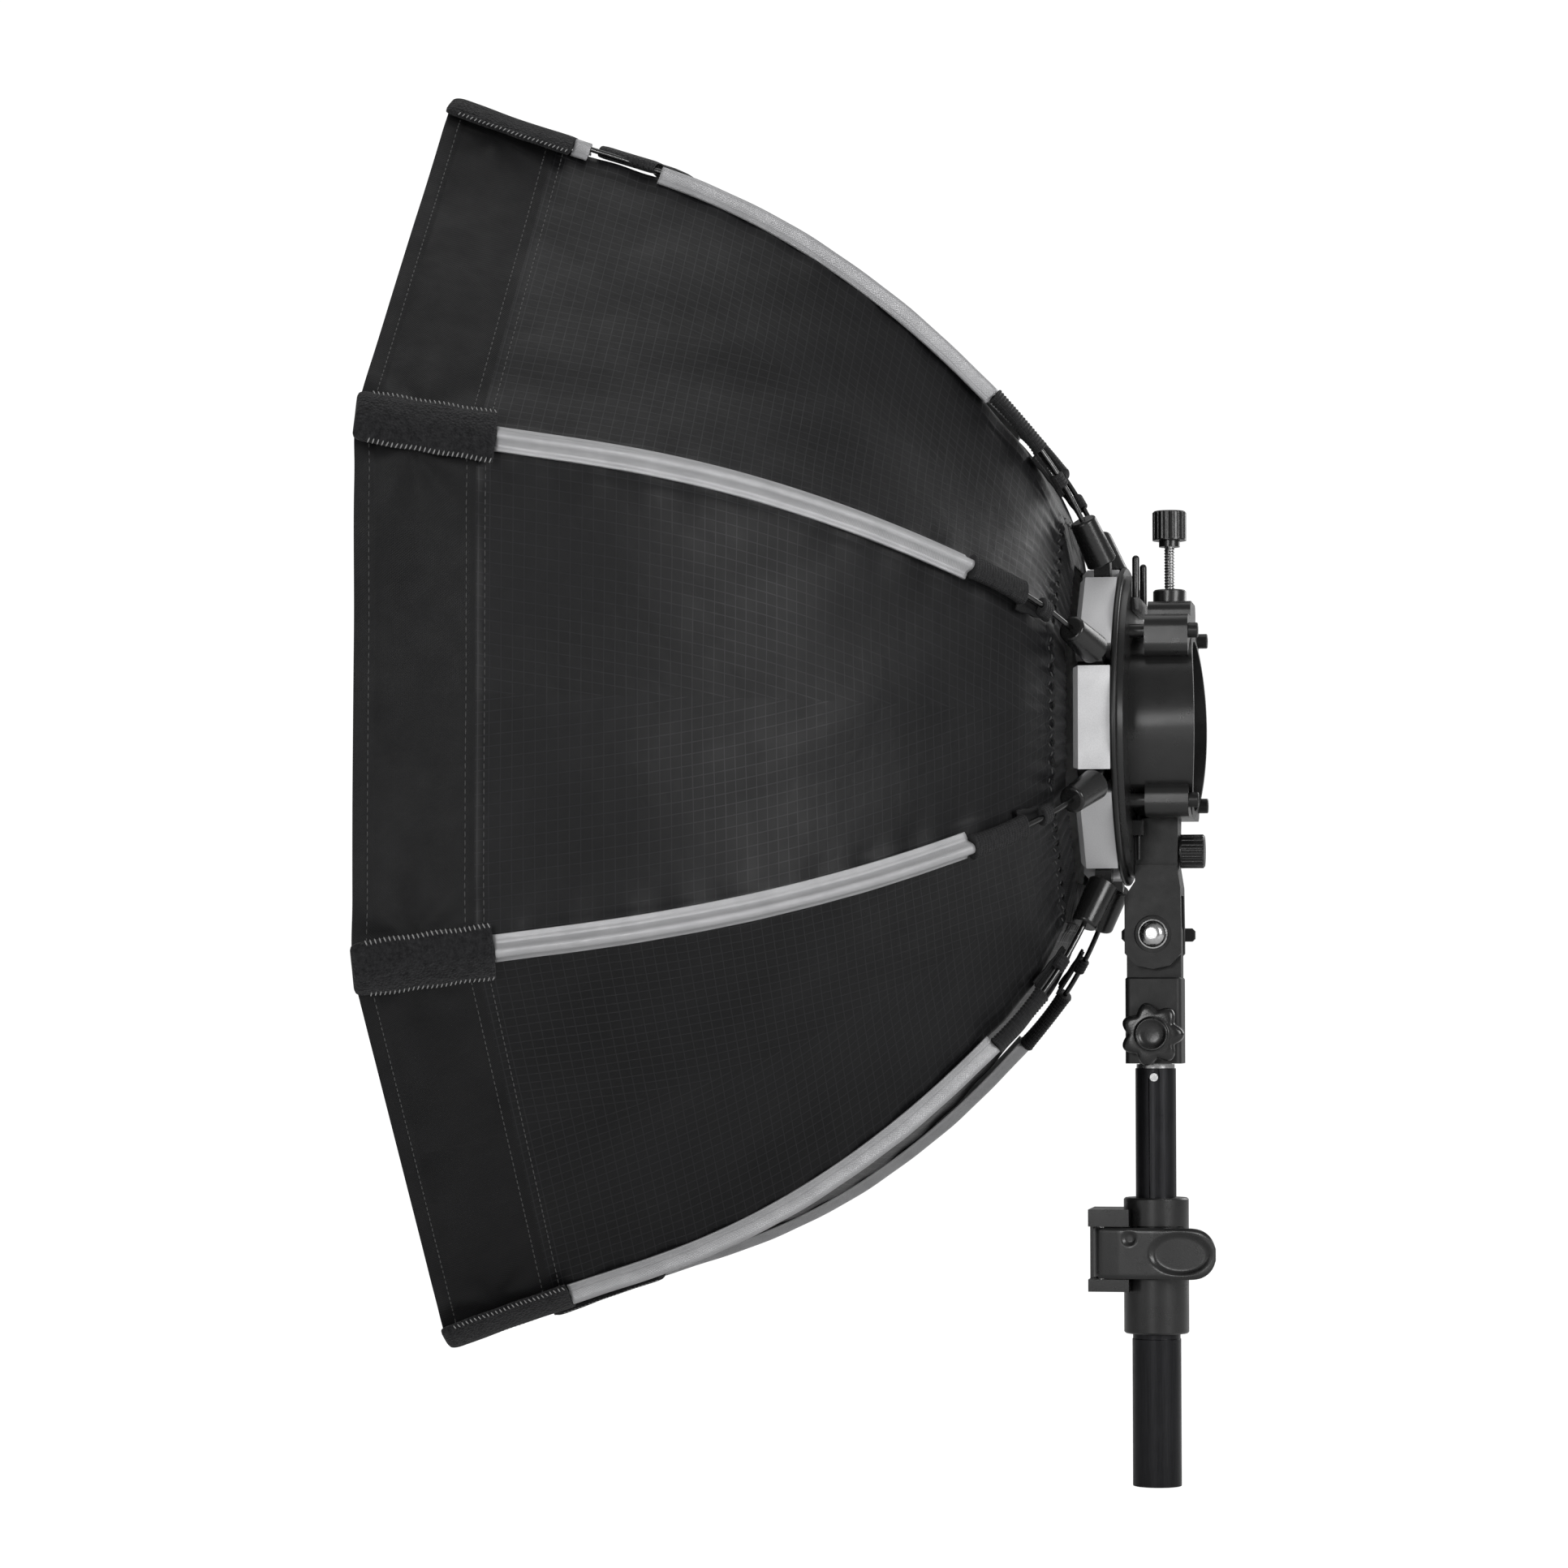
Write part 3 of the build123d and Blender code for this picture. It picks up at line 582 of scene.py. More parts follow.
def along(s, table_s, line):
    """(distance from the axis, y) and their rates at lengths s."""
    r, y = point_at(s, table_s, line)
    d = 0.002
    r0, y0 = point_at(np.clip(s - d, 0, table_s[-1]), table_s, line)
    r1, y1 = point_at(np.clip(s + d, 0, table_s[-1]), table_s, line)
    dr, dy = r1 - r0, y1 - y0
    size = np.hypot(dr, dy)
    return r, y, dr / size, dy / size


def canopy_at(s):
    """The canopy's distance from the axis and y at length s."""
    return tuple(map(float, point_at(s, canopy_s, canopy_line)))


def length_at(y, table_s, line):
    """The length along a curve at which it reaches y."""
    return float(np.interp(-y, -line[:, 1], table_s))


def azimuth(i):
    return HALF + (i - 1) * 2 * HALF


def place(angle, radial, y, side):
    """Points from the distance along a direction, y and the side offset."""
    e = np.array([cos(angle), 0, sin(angle)])
    t = np.array([-sin(angle), 0, cos(angle)])
    radial, y, side = np.broadcast_arrays(radial, y, side)
    out = radial[..., None] * e + side[..., None] * t
    out = out + np.array([0, 0, AXIS_Z])
    out[..., 1] += y
    return out


def heading(angle, radial, y):
    """A direction in the plane through the axis at an angle."""
    return place(angle, radial, y, 0.0) - np.array([0, 0, AXIS_Z])


def soften(x):
    x = np.clip(x, 0, 1)
    return x * x * (3 - 2 * x)


# ------------------------------------------------------------- the canopy
SEAM_S = length_at(SEAM_Y, canopy_s, canopy_line)
RIM_S = float(canopy_s[-1])


def relief(j, s, x):
    """How far gore j's cloth stands out of its flat panel."""
    j = j % 8
    r, y, dr, dy = along(s, canopy_s, canopy_line)
    w = r * sin(HALF)
    v = np.clip(np.abs(x) / w, 0, 1)
    rib = (j + (x > 0)) % 8
    edge = (w - np.abs(x)) / MM  # millimetres from the rib
    mm_s = s / MM
    d = -3.0 * (1 - v ** 2) * np.abs(np.sin(pi * s / RIM_S)) ** 1.2
    # tight folds beside the sleeves
    d += 0.55 * v ** 3 * np.exp(-((edge - 9) / 11) ** 2) * np.sin(
        mm_s * 2 * pi / 27 + 1.9 * rib) * soften(s / 0.06)
    # creases that run from the corner pockets into the panel
    reach = np.hypot(edge - 10, (RIM_S - s) / MM - 26)
    turn = np.arctan2((RIM_S - s) / MM - 26, edge - 10 + 1e-9)
    d += 1.5 * np.exp(-(reach / 46) ** 2) * np.sin(
        5.5 * turn + rib * 0.9) * soften(reach / 18) * soften(v * 1.6 - 0.3)
    # long soft waves in the panel
    a = x / MM
    d += (1 - v ** 4) * (
        0.7 * np.sin(a / 31 + mm_s / 47 + 2.1 * j)
        + 0.5 * np.sin(a / 17 - mm_s / 29 + 1.3 * j)
        + 0.28 * np.sin(a / 9.5 + mm_s / 16 + 0.7 * j)) * soften(s / 0.05)
    # gathers at the rear edge
    d += 1.3 * np.cos(a * 2 * pi / 9.5 + j + 0.8 * np.sin(a / 13)) * np.exp(
        -mm_s / 11) * (1 - v ** 8)
    # skirt: a slack edge between the corners
    skirt = soften((s - SEAM_S) / 0.03)
    d += skirt * (1 - v ** 2) * (0.6 + 0.8 * np.sin(a / 23 + 1.7 * j))
    # the seam, the doubled cloth at the ribs and the front binding
    d += 0.55 * np.exp(-((s - SEAM_S) / 0.0017) ** 2)
    d += 0.45 * soften((10.5 - edge) / 1.6) * soften(s / 0.03)
    d += 0.6 * soften((s - RIM_S + 0.0085) / 0.0012)
    d -= 0.35 * np.exp(-((s - RIM_S + 0.0094) / 0.0009) ** 2)
    d += 0.4 * soften((0.006 - s) / 0.0015)
    return d * MM


def gore(j, s, x, lift=0.0):
    """Points of gore j at length s and x to the side of its middle."""
    r, y, dr, dy = along(s, canopy_s, canopy_line)
    d = relief(j, s, x) + lift
    k = cos(HALF)
    nr, ny = -dy, dr * k
    size = np.hypot(nr, ny)
    return place(j * 2 * HALF, r * k + d * nr / size, y + d * ny / size, x)


def gore_normal(j, s, x):
    e = 0.0012
    ds = gore(j, np.clip(s + e, 0, RIM_S), x) - gore(
        j, np.clip(s - e, 0, RIM_S), x)
    dx = gore(j, s, x + e) - gore(j, s, x - e)
    n = np.cross(dx, ds)
    n /= np.linalg.norm(n, axis=-1, keepdims=True)
    e_out = np.array([cos(j * 2 * HALF), 0.4, sin(j * 2 * HALF)])
    if float((n @ e_out).mean()) < 0:
        n = -n
    return n


CLOTH = 0.0007
HALF_COLS = 26


def petal(i, s):
    """The two half gores beside rib i at lengths s: points, normals, uv."""
    w = (point_at(s, canopy_s, canopy_line)[0] * sin(HALF))[:, None]
    # closer columns beside the rib
    f = (np.linspace(0, 1, HALF_COLS + 1) ** 0.8)[None, :]
    s2 = np.repeat(s[:, None], HALF_COLS + 1, 1)
    left_x, right_x = w * f, -w * f[:, ::-1]
    left, right_ = gore(i - 1, s2, left_x), gore(i, s2, right_x)
    ln, rn = gore_normal(i - 1, s2, left_x), gore_normal(i, s2, right_x)
    middle = (left[:, -1] + right_[:, 0]) / 2
    mid_n = ln[:, -1] + rn[:, 0]
    mid_n /= np.linalg.norm(mid_n, axis=-1, keepdims=True)
    points = np.concatenate([left[:, :-1], middle[:, None], right_[:, 1:]], 1)
    normals = np.concatenate([ln[:, :-1], mid_n[:, None], rn[:, 1:]], 1)
    u = np.concatenate([left_x[:, :-1] - w, w * 0, w + right_x[:, 1:]], 1)
    v = np.repeat(s[:, None], u.shape[1], 1)
    return points, normals, np.stack([u + i * 0.3, v], -1)


BANDS_Y = [-0.0405, -0.056, -0.078, -0.106, -0.142, -0.188, -0.235, SEAM_Y,
           -0.304, RIM_Y]
BANDS = [length_at(y, canopy_s, canopy_line) for y in BANDS_Y]
BANDS[0], BANDS[-1] = 0.0, RIM_S


def stitches(name, points, normals, forward, length, thick, mat):
    """Short sewn stitches that lie on the cloth."""
    verts, faces = [], []
    ring = 6
    for p, n, f in zip(points, normals, forward):
        f = f / np.linalg.norm(f)
        n = n / np.linalg.norm(n)
        side = np.cross(n, f)
        base = len(verts)
        for k in range(5):
            u = k / 4 * 2 - 1
            rad = thick * math.sqrt(max(0.02, 1 - u ** 4)) / 2
            c = p + f * (u * length / 2) + n * (
                thick * 0.35 * (1 - 0.7 * u * u))
            for m in range(ring):
                a = 2 * pi * m / ring
                verts.append(c + rad * (cos(a) * side + sin(a) * n))
        faces += [tuple(base + v for v in f) for f in tube_faces(5, ring)]
    return obj(name, verts, faces, [mat])


def side_of(i):
    a = azimuth(i)
    return (-sin(a), 0, cos(a))


def fold_with(piece):
    """Give the piece its own copy of its mesh."""
    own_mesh(piece)


def fold_band(piece):
    """Give the piece its own copy of its mesh, as fold_with does."""
    fold_with(piece)


ROW = 0.0036  # between the rows of a band
SEAM_BAND = BANDS_Y.index(SEAM_Y)  # the first band of the skirt
BESIDE_SEAM = np.array([0.0008, 0.0017, 0.0026])
# closer rows where the cloth steps over a hem, the seam or the binding
CLOSE_ROWS = {
    0: [0.0046, 0.0058, 0.0068],
    SEAM_BAND - 1: SEAM_S - BESIDE_SEAM,
    SEAM_BAND: SEAM_S + BESIDE_SEAM,
    len(BANDS) - 2: RIM_S - np.array([0.0104, 0.0094, 0.0085, 0.0078]),
}
# sewn rows: name, length along the canopy, pitch, stitch length, thickness
THREADS = [("rear_thread", 0.0032, 0.0042, 0.0026, 0.0006),
           ("seam_thread", SEAM_S - 0.0042, 0.0038, 0.0028, 0.00045),
           ("skirt_thread", SEAM_S + 0.0042, 0.0038, 0.0028, 0.00045),
           ("rim_thread", RIM_S - 0.0066, 0.0036, 0.0026, 0.00045)]

for i in range(1, 9):
    for b in range(len(BANDS) - 1):
        s0, s1 = BANDS[b], BANDS[b + 1]
        count = max(4, int(round((s1 - s0) / ROW)))
        s = np.linspace(s0, s1, count + 1)
        s = np.sort(np.concatenate([s, CLOSE_ROWS.get(b, [])]))
        points, normals, uv = petal(i, s)
        inner = points - normals * CLOTH
        skirt = b >= SEAM_BAND
        mats = ["skirt"] if skirt else ["ripstop", "lining"]
        name = (f"skirt_{i}_{b + 1 - SEAM_BAND}" if skirt
                else f"canopy_{i}_{b + 1}")
        piece = shell(name, points, inner, uv, mats, 0 if skirt else 1,
                      normals)
        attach(piece, f"rib_{i}")
        if b == 0:
            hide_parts(f"canopy_panel_{i}")
        fold_band(piece)

    for name, at, pitch, long, thick in THREADS:
        w = canopy_at(at)[0] * sin(HALF)
        xs = np.arange(pitch / 2, w - 0.002, pitch)
        pts, nrm, fwd = [], [], []
        for j, sign in ((i - 1, 1), (i, -1)):
            x = sign * xs
            sv = np.full(len(x), at)
            pts.append(gore(j, sv, x))
            nrm.append(gore_normal(j, sv, x))
            fwd.append(gore(j, sv, x + 0.0006) - gore(j, sv, x - 0.0006))
        piece = stitches(f"{name}_{i}", np.concatenate(pts),
                         np.concatenate(nrm), np.concatenate(fwd), long,
                         thick, "thread_dark")
        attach(piece, f"rib_{i}")
        fold_band(piece)


# the gathered hem between the canopy's rear edge and the hub
HEM_ROWS = np.linspace(0, 1, 14)
HEM_R, HEM_Y, HEM_LONG = (0.1055, 0.0845), (-0.0408, -0.0368), 0.0215


def hem_half(j, f):
    """Half of gore j's gathered hem; f runs from -1 to 1 over the gore."""
    t = HEM_ROWS[:, None]
    rad = HEM_R[0] + (HEM_R[1] - HEM_R[0]) * t
    x = rad * sin(HALF) * f[None, :]
    a = x / rad * HEM_R[0] / MM
    v = np.abs(f)[None, :]
    d = 1.3 * np.cos(a * 2 * pi / 9.5 + j + 0.8 * np.sin(a / 13)) * (
        1 - v ** 8) * (1 - 0.6 * t)
    d = d + 0.35 * np.sin(a * 1.9 + 9 * t + j) * (1 - v ** 4) * t
    y = HEM_Y[0] + (HEM_Y[1] - HEM_Y[0]) * t + d * MM * -0.75
    return place(j * 2 * HALF, rad * cos(HALF), y, x)


for i in range(1, 9):
    f = np.linspace(0, 1, 41)
    over = np.concatenate([hem_half((i - 1) % 8, f)[:, :-1],
                           hem_half(i % 8, f - 1)], 1)
    under = over + np.array([0, CLOTH, 0])
    t = np.repeat(HEM_ROWS[:, None], over.shape[1], 1)
    w = np.linspace(-1, 1, over.shape[1])[None, :] * 0.04
    piece = shell(f"hem_{i}", under, over,
                  np.stack([w + 0 * t, t * HEM_LONG], -1), ["skirt"])
    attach(piece, f"rib_{i}")
    fold_with(piece)


# ------------------------------------------------- sleeves and corner pads
def rib_sweep(name, i, s, section, mats):
    """A closed piece swept along rib i. section gives (side, out) points
    around the rib for each length in s."""
    r, y, dr, dy = along(s, rib_s, rib_line)
    a = azimuth(i)
    rings = []
    for k in range(len(s)):
        ring = np.asarray(section(k, s[k]))
        nr, ny = -dy[k], dr[k]
        rings.append(place(a, r[k] + ring[:, 1] * nr,
                           y[k] + ring[:, 1] * ny, ring[:, 0]))
    rings = np.array(rings)
    count, m = rings.shape[:2]
    girth = np.cumsum(np.linalg.norm(
        np.diff(rings[count // 2], axis=0, prepend=rings[count // 2][:1]),
        axis=1))
    uv = np.stack([np.tile(girth, count), np.repeat(s, m)], 1)
    return obj(name, rings.reshape(-1, 3), tube_faces(count, m), mats, None,
               uv)


def sleeve_section(k, s):
    """A tunnel over the rod whose two hems lie on the gores."""
    wave = 0.22 * sin(s / 0.0105) + 0.16 * sin(s / 0.0047 + 1.3)
    lean = 0.25 * sin(s / 0.031)
    top = []
    xs = [-5.9, -5.5, -4.7, -4.5, -3.7, -3.1, -2.45, -1.7, -0.9, 0.0,
          0.9, 1.7, 2.45, 3.1, 3.7, 4.5, 4.7, 5.5, 6.7, 6.9]
    for x in xs:
        base = -2.35 - 0.30 * abs(x)
        if abs(x) < 2.7:
            z = math.sqrt(max(0.0, 2.75 ** 2 - x * x)) + 0.15 + wave * 0.5
            z = max(z, base + 1.0)
        elif abs(x) < 4.6:
            z = base + 1.25 + wave * 0.6
        elif x < 0 or x < 5.6:
            z = base + 0.95 + wave * 0.4
        else:
            z = base + 0.5
        top.append((x + lean * 0.4, z))
    low = [(x + lean * 0.4, -2.75 - 0.30 * abs(x))
           for x in (6.7, 4.0, 1.5, 0.0, -1.5, -4.0, -5.8)]
    return np.array(top + low) * MM


def oval(wide_mm, thick_mm, count=28, power=2.0):
    a = np.linspace(0, 2 * pi, count, endpoint=False)[::-1]
    c, s = np.cos(a), np.sin(a)
    x = np.sign(c) * np.abs(c) ** (2 / power) * wide_mm / 2
    z = np.sign(s) * np.abs(s) ** (2 / power) * thick_mm / 2
    return np.stack([-x, z], 1)


def elastic_section(k, s):
    p = (s - E0) / (E1 - E0)
    ridge = 0.26 * sin(2 * pi * (s - E0) / 0.00175)
    mouth = 0.5 * (math.exp(-p / 0.05) + math.exp(-(1 - p) / 0.05))
    size = 1.0 - 0.07 * sin(pi * p)
    return oval((11.8 + 2 * ridge + mouth) * size,
                (7.0 + 2 * ridge + mouth) * size, 30, 2.3) * MM


def tie_section(k, s):
    p = (s - T0) / (T1 - T0)
    wound = 0.7 * abs(sin(pi * (s - T0) / 0.0017)) ** 0.6
    end = 0.7 * (1 - soften(np.array(min(p, 1 - p) / 0.08)))
    ring = oval(8.6 + wound - end, 6.2 + wound - end, 26)
    ring[:, 1] -= 0.9
    return ring * MM


def tab_section(k, s):
    """The cloth's gathered corner, which the tie holds to the rod."""
    p = (s - TAB0) / (TAB1 - TAB0)
    half = 3.0 + 4.2 * p + 0.3 * sin(p * 17)
    top, low = [], []
    for q in np.linspace(-1, 1, 15):
        pleat = 0.55 * cos(q * 9.0 + 0.6 * sin(p * 6))
        z = -2.5 - 0.5 * p + pleat * (1 - abs(q) ** 3) - 0.2 * abs(q) * half
        top.append((q * half, z))
        low.append((q * half, z - 0.9))
    return np.array(top + low[::-1]) * MM


POCKET_TOP = 17  # points over a pocket, from side to side


def pocket_section(k, s):
    """A padded patch with a flat overlocked hem down both sides."""
    p = (s - P0) / (P1 - P0)
    round_end = math.sqrt(max(0.0, 1 - max(0.0, (p - 0.9) / 0.1) ** 2.4))
    open_end = 1 - 0.12 * math.exp(-p / 0.03)
    half = 12.6 * (0.72 + 0.28 * round_end) + 0.25 * sin(p * 19 + 0.5)
    puff = (2.55 + 0.25 * sin(p * 8 + 1)) * (
        0.18 + 0.82 * round_end) * open_end
    top, low = [], []
    for q in np.linspace(-1, 1, POCKET_TOP):
        bulge = (1 - abs(q) ** 2.6) ** 0.8
        x = q * half
        base = -1.2 - 0.115 * abs(x)
        top.append((x, base + 1.5 + puff * bulge
                    - 0.35 * math.exp(-((abs(q) - 0.84) / 0.05) ** 2)))
        low.append((x * 0.99, base - 0.2 - 0.9 * bulge))
    return np.array(top + low[::-1]) * MM


def rib_at(y):
    return length_at(y, rib_s, rib_line)


E0, E1 = rib_at(-0.0505), rib_at(-0.0715)
T0, T1 = rib_at(-0.0395), rib_at(-0.0395) + 0.0068
TAB0, TAB1 = T0 - 0.004, T0 + 0.021
P0, P1 = rib_at(-0.270), float(rib_s[-1]) + 0.0052


def steps(a, b, pitch):
    return np.linspace(a, b, max(3, int(round((b - a) / pitch)) + 1))


# the pockets go straight on past the ribs' tips
tip, before = rib_line[-1], rib_line[-12]
more = np.arange(1, 15) * 0.0005
rib_line = np.concatenate([rib_line, tip + more[:, None] * (
    (tip - before) / np.linalg.norm(tip - before))])
rib_s = np.concatenate([rib_s, rib_s[-1] + more])

for i in range(1, 9):
    gaps = i in (2, 3)
    stretches = [(-0.072, -0.228), (-0.262, -0.2696)] if gaps else [
        (-0.072, -0.2696)]
    made = []
    for n, (ya, yb) in enumerate(stretches):
        s = steps(rib_at(ya), rib_at(yb), 0.0016)
        piece = rib_sweep(f"sleeve_{i}_{n + 1}", i, s, sleeve_section,
                          ["sleeve"])
        made.append(piece)
    elastic = rib_sweep(f"elastic_{i}", i, steps(E0, E1, 0.00022),
                        elastic_section, ["elastic"])
    tie = rib_sweep(f"tie_{i}", i, steps(T0, T1, 0.00012), tie_section,
                    ["elastic"])
    tab = rib_sweep(f"tab_{i}", i, steps(TAB0, TAB1, 0.0008), tab_section,
                    ["skirt"])
    s = np.concatenate([steps(P0, P1 - 0.006, 0.0014)[:-1],
                        steps(P1 - 0.006, P1, 0.0005)])
    pad = rib_sweep(f"pocket_{i}", i, s, pocket_section, ["loop"])
    for piece in (elastic, tie, tab, pad):
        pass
    for piece in made + [elastic, tie, tab, pad]:
        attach(piece, f"rib_{i}")
    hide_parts(f"rib_cover_{i}")
    # overlock thread down both sides of the pocket
    pts, nrm, fwd = [], [], []
    s = np.arange(P0 + 0.0012, P1 - 0.007, 0.0021)
    r, y, dr, dy = along(s, rib_s, rib_line)
    for sign in (-1, 1):
        for k in range(len(s)):
            sec = pocket_section(0, s[k])
            x, z = sec[0] if sign < 0 else sec[POCKET_TOP - 1]
            c = place(azimuth(i), r[k] - dy[k] * z, y[k] + dr[k] * z,
                      x * 0.985)
            out = heading(azimuth(i), -dy[k], dr[k])
            lean = heading(azimuth(i), dr[k], dy[k])
            t = np.array(side_of(i)) * sign
            pts.append(c + out * 0.0002)
            nrm.append(out + 0.6 * t)
            fwd.append(t * 1.0 - out * 0.5 + lean * (0.35 + random.uniform(
                -0.15, 0.15)))
    piece = stitches(f"pocket_thread_{i}", pts, nrm, fwd, 0.0026, 0.0006,
                     "thread_light")
    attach(piece, f"rib_{i}")


# ---------------------------------------------------------------- diffuser
DIFFUSER_FLAT, DIFFUSER_Y = 0.2754, -0.2797  # axis to a side; its plane


def front(i, rho, phi, lift):
    """Points of the diffuser: rho from 0 at the axis to 1 at its edge."""
    edge = DIFFUSER_FLAT / np.cos(HALF - np.abs(phi))
    r = rho * edge
    a = azimuth(i) + phi
    x, z = r * np.cos(a), r * np.sin(a)
    wave = 0.0011 * np.sin(x / 0.047 + 1.0) * np.sin(z / 0.039) \
        + 0.0005 * np.sin(x / 0.019 - z / 0.023)
    pull = 0.0009 * np.exp(-((1 - rho) / 0.09) ** 2) * np.sin(
        8 * pi * (phi + (i - 1) * 2 * HALF) / (2 * HALF))
    y = DIFFUSER_Y + (wave * (1 - rho ** 8) + pull) * soften(
        (1 - rho) / 0.04)
    y = y - 0.0005 * soften((rho - 0.955) / 0.006)
    return np.stack([x, y + lift, z + AXIS_Z], -1)


SPLIT = 0.637  # where the edge ends and the centre starts
CORNER = 0.2981  # axis to a corner of the diffuser
for i in range(1, 9):
    phi = np.linspace(-HALF, HALF, 25)
    for part, lo, hi in (("edge", SPLIT, 1.0), ("centre", 0.004, SPLIT)):
        rho = np.linspace(lo, hi, 26 if part == "edge" else 34)
        if part == "edge":
            rho = np.sort(np.concatenate([rho, [0.952, 0.958, 0.964]]))
        g, p = np.meshgrid(rho, phi, indexing="ij")
        over, under = front(i, g, p, -0.0003), front(i, g, p, 0.0003)
        u = np.stack([over[..., 0], over[..., 2]], -1)
        piece = shell(f"diffuser_{part}_{i}", over, under, u, ["diffuser"])
        a = azimuth(i)
        if part == "edge":
            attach(piece, f"rib_{i}")
            fold_with(piece)
        else:
            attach(piece, "head")
            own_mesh(piece)
        if (i, part) == (1, "edge"):
            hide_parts("diffuser")
        long = CORNER * (hi - lo)


# ------------------------------------------------------------------ handle
mid = (rib_at(-0.230) + rib_at(-0.260)) / 2
strap_r, strap_y, dr, dy = (float(v[0]) for v in along(
    np.array([mid]), rib_s, rib_line))
strap_r *= cos(HALF)  # measured along the middle of the top gore
way = np.array([dr * cos(HALF), dy])
way = way / np.linalg.norm(way)
out_way = np.array([-way[1], way[0]])
STRAP_W, STRAP_T = 29.0, 1.3


def strap_points(path):
    """A flat strap whose middle follows path, (side, height) in mm: its two
    sides as grids, their UV and its length."""
    p = np.array(path, float)
    t = lengths(p)
    u = np.linspace(0, t[-1], 110)
    line = np.stack(point_at(u, t, p), 1)
    relax(line, 26)
    d = np.gradient(line, axis=0)
    d /= np.linalg.norm(d, axis=1, keepdims=True)
    n = np.stack([-d[:, 1], d[:, 0]], 1)
    s = lengths(line)
    across = np.linspace(-1, 1, 13)
    sides = []
    for sign in (1, -1):
        grid = np.zeros((len(line), len(across), 3))
        for c, q in enumerate(across):
            h = STRAP_T / 2 * (1 - 0.55 * abs(q) ** 10)
            grid[:, c, :2] = line + n * (sign * h + 0.12 * q * q)
            grid[:, c, 2] = q * STRAP_W / 2
        sides.append(grid)
    uv = np.zeros((len(line), len(across), 2))
    uv[..., 0] = across[None, :] * STRAP_W / 2 * MM
    uv[..., 1] = s[:, None] * MM
    return sides[0], sides[1], uv, s[-1]


def strap_place(grid, sign):
    """The strap's points over the top gore, on one side of its middle."""
    side = grid[..., 0] * sign * MM
    h = grid[..., 1] * MM
    w = grid[..., 2] * MM
    radial = strap_r + out_way[0] * h + way[0] * w
    yy = strap_y + out_way[1] * h + way[1] * w
    return place(pi / 2, radial, yy, side)


# from the middle of the strap out to the rod, round it and back inwards
R = strap_r / cos(HALF) * sin(HALF) / MM
half_path = [(0, 12.6), (18, 12.3), (40, 11.2), (62, 9.1), (82, 6.6),
             (96, 4.9), (R - 6, 4.35), (R - 1.5, 4.0), (R + 2.2, 2.7),
             (R + 3.6, 0.2), (R + 2.2, -2.0), (R - 1.2, -2.7),
             (R - 5, -1.9), (R - 10, 0.9), (R - 16, 3.3), (R - 30, 4.3),
             (R - 34, 4.9)]
for rib, sign in ((2, -1), (3, 1)):
    over, under, uv, long = strap_points(half_path)
    a, b = strap_place(over, sign), strap_place(under, sign)
    if sign > 0:
        a, b = b, a
    piece = shell(f"handle_{rib}", a, b, uv, ["webbing"])
    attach(piece, f"rib_{rib}")
    fold_with(piece)
    if rib == 2:
        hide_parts("handle")


# --------------------------------------------------- hard pieces with detail
def thread_rod(name, x, y, z0, z1, crest, root, pitch):
    """A threaded rod along Z, its thread a true helix."""
    rows = int((z1 - z0) / (pitch / 7))
    seg = 28
    verts = []
    for k in range(rows + 1):
        z = z0 + (z1 - z0) * k / rows
        edge = min((z - z0), (z1 - z)) / 0.0008
        for m in range(seg):
            a = 2 * pi * m / seg
            f = (z / pitch - m / seg) % 1.0
            cut = abs(f - 0.5) * 2
            rad = root + (crest - root) * min(1.0, max(0.0, 1.35 * cut - 0.1))
            rad = min(rad, root + (crest - root) * max(0.0, edge))
            verts.append((x + rad * cos(a), y + rad * sin(a), z))
    return obj(name, verts, tube_faces(rows + 1, seg), ["steel"])


lo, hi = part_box("clamp_screw")
screw = thread_rod("clamp_screw_thread", (lo.x + hi.x) / 2, (lo.y + hi.y) / 2,
                   lo.z, hi.z, (hi.x - lo.x) / 2, (hi.x - lo.x) / 2 - 0.00042,
                   0.0015)
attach(screw, "screw")
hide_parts("clamp_screw")

# star knob: seven rounded lobes and a dished face. Rows of x, radius, and
# how far the lobes stand out there.
STAR = [(8.2, 0.02, 0), (8.2, 3.0, 0), (15.0, 3.05, 0), (15.0, 11.0, 0.8),
        (15.3, 11.9, 0.97), (16.0, 12.25, 1), (18.0, 12.3, 1),
        (20.5, 12.3, 1), (22.6, 12.15, 1), (23.5, 11.8, 0.96),
        (24.2, 11.1, 0.84), (24.6, 10.2, 0.6), (24.7, 9.4, 0.25),
        (24.7, 8.7, 0.05), (24.85, 8.3, 0), (25.5, 8.05, 0),
        (25.9, 7.8, 0), (26.0, 7.4, 0), (25.85, 7.0, 0), (25.2, 6.4, 0),
        (24.6, 5.2, 0), (24.35, 3.0, 0), (24.3, 0.02, 0)]
STAR_Z, LOBES, LOBE_OUT = 0.2217, 7, 3.4
TURNS = 196
verts = []
for x, rad, lobe in STAR:
    for m in range(TURNS):
        a = 2 * pi * m / TURNS
        out = LOBE_OUT * (0.5 + 0.5 * cos(LOBES * a)) ** 0.75 * lobe
        verts.append((x * MM, (rad + out) * MM * cos(a),
                      STAR_Z + (rad + out) * MM * sin(a)))
star = obj("star_knob_detail", verts, tube_faces(len(STAR), TURNS),
           ["glossy"])
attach(star, "star")
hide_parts("star_knob")

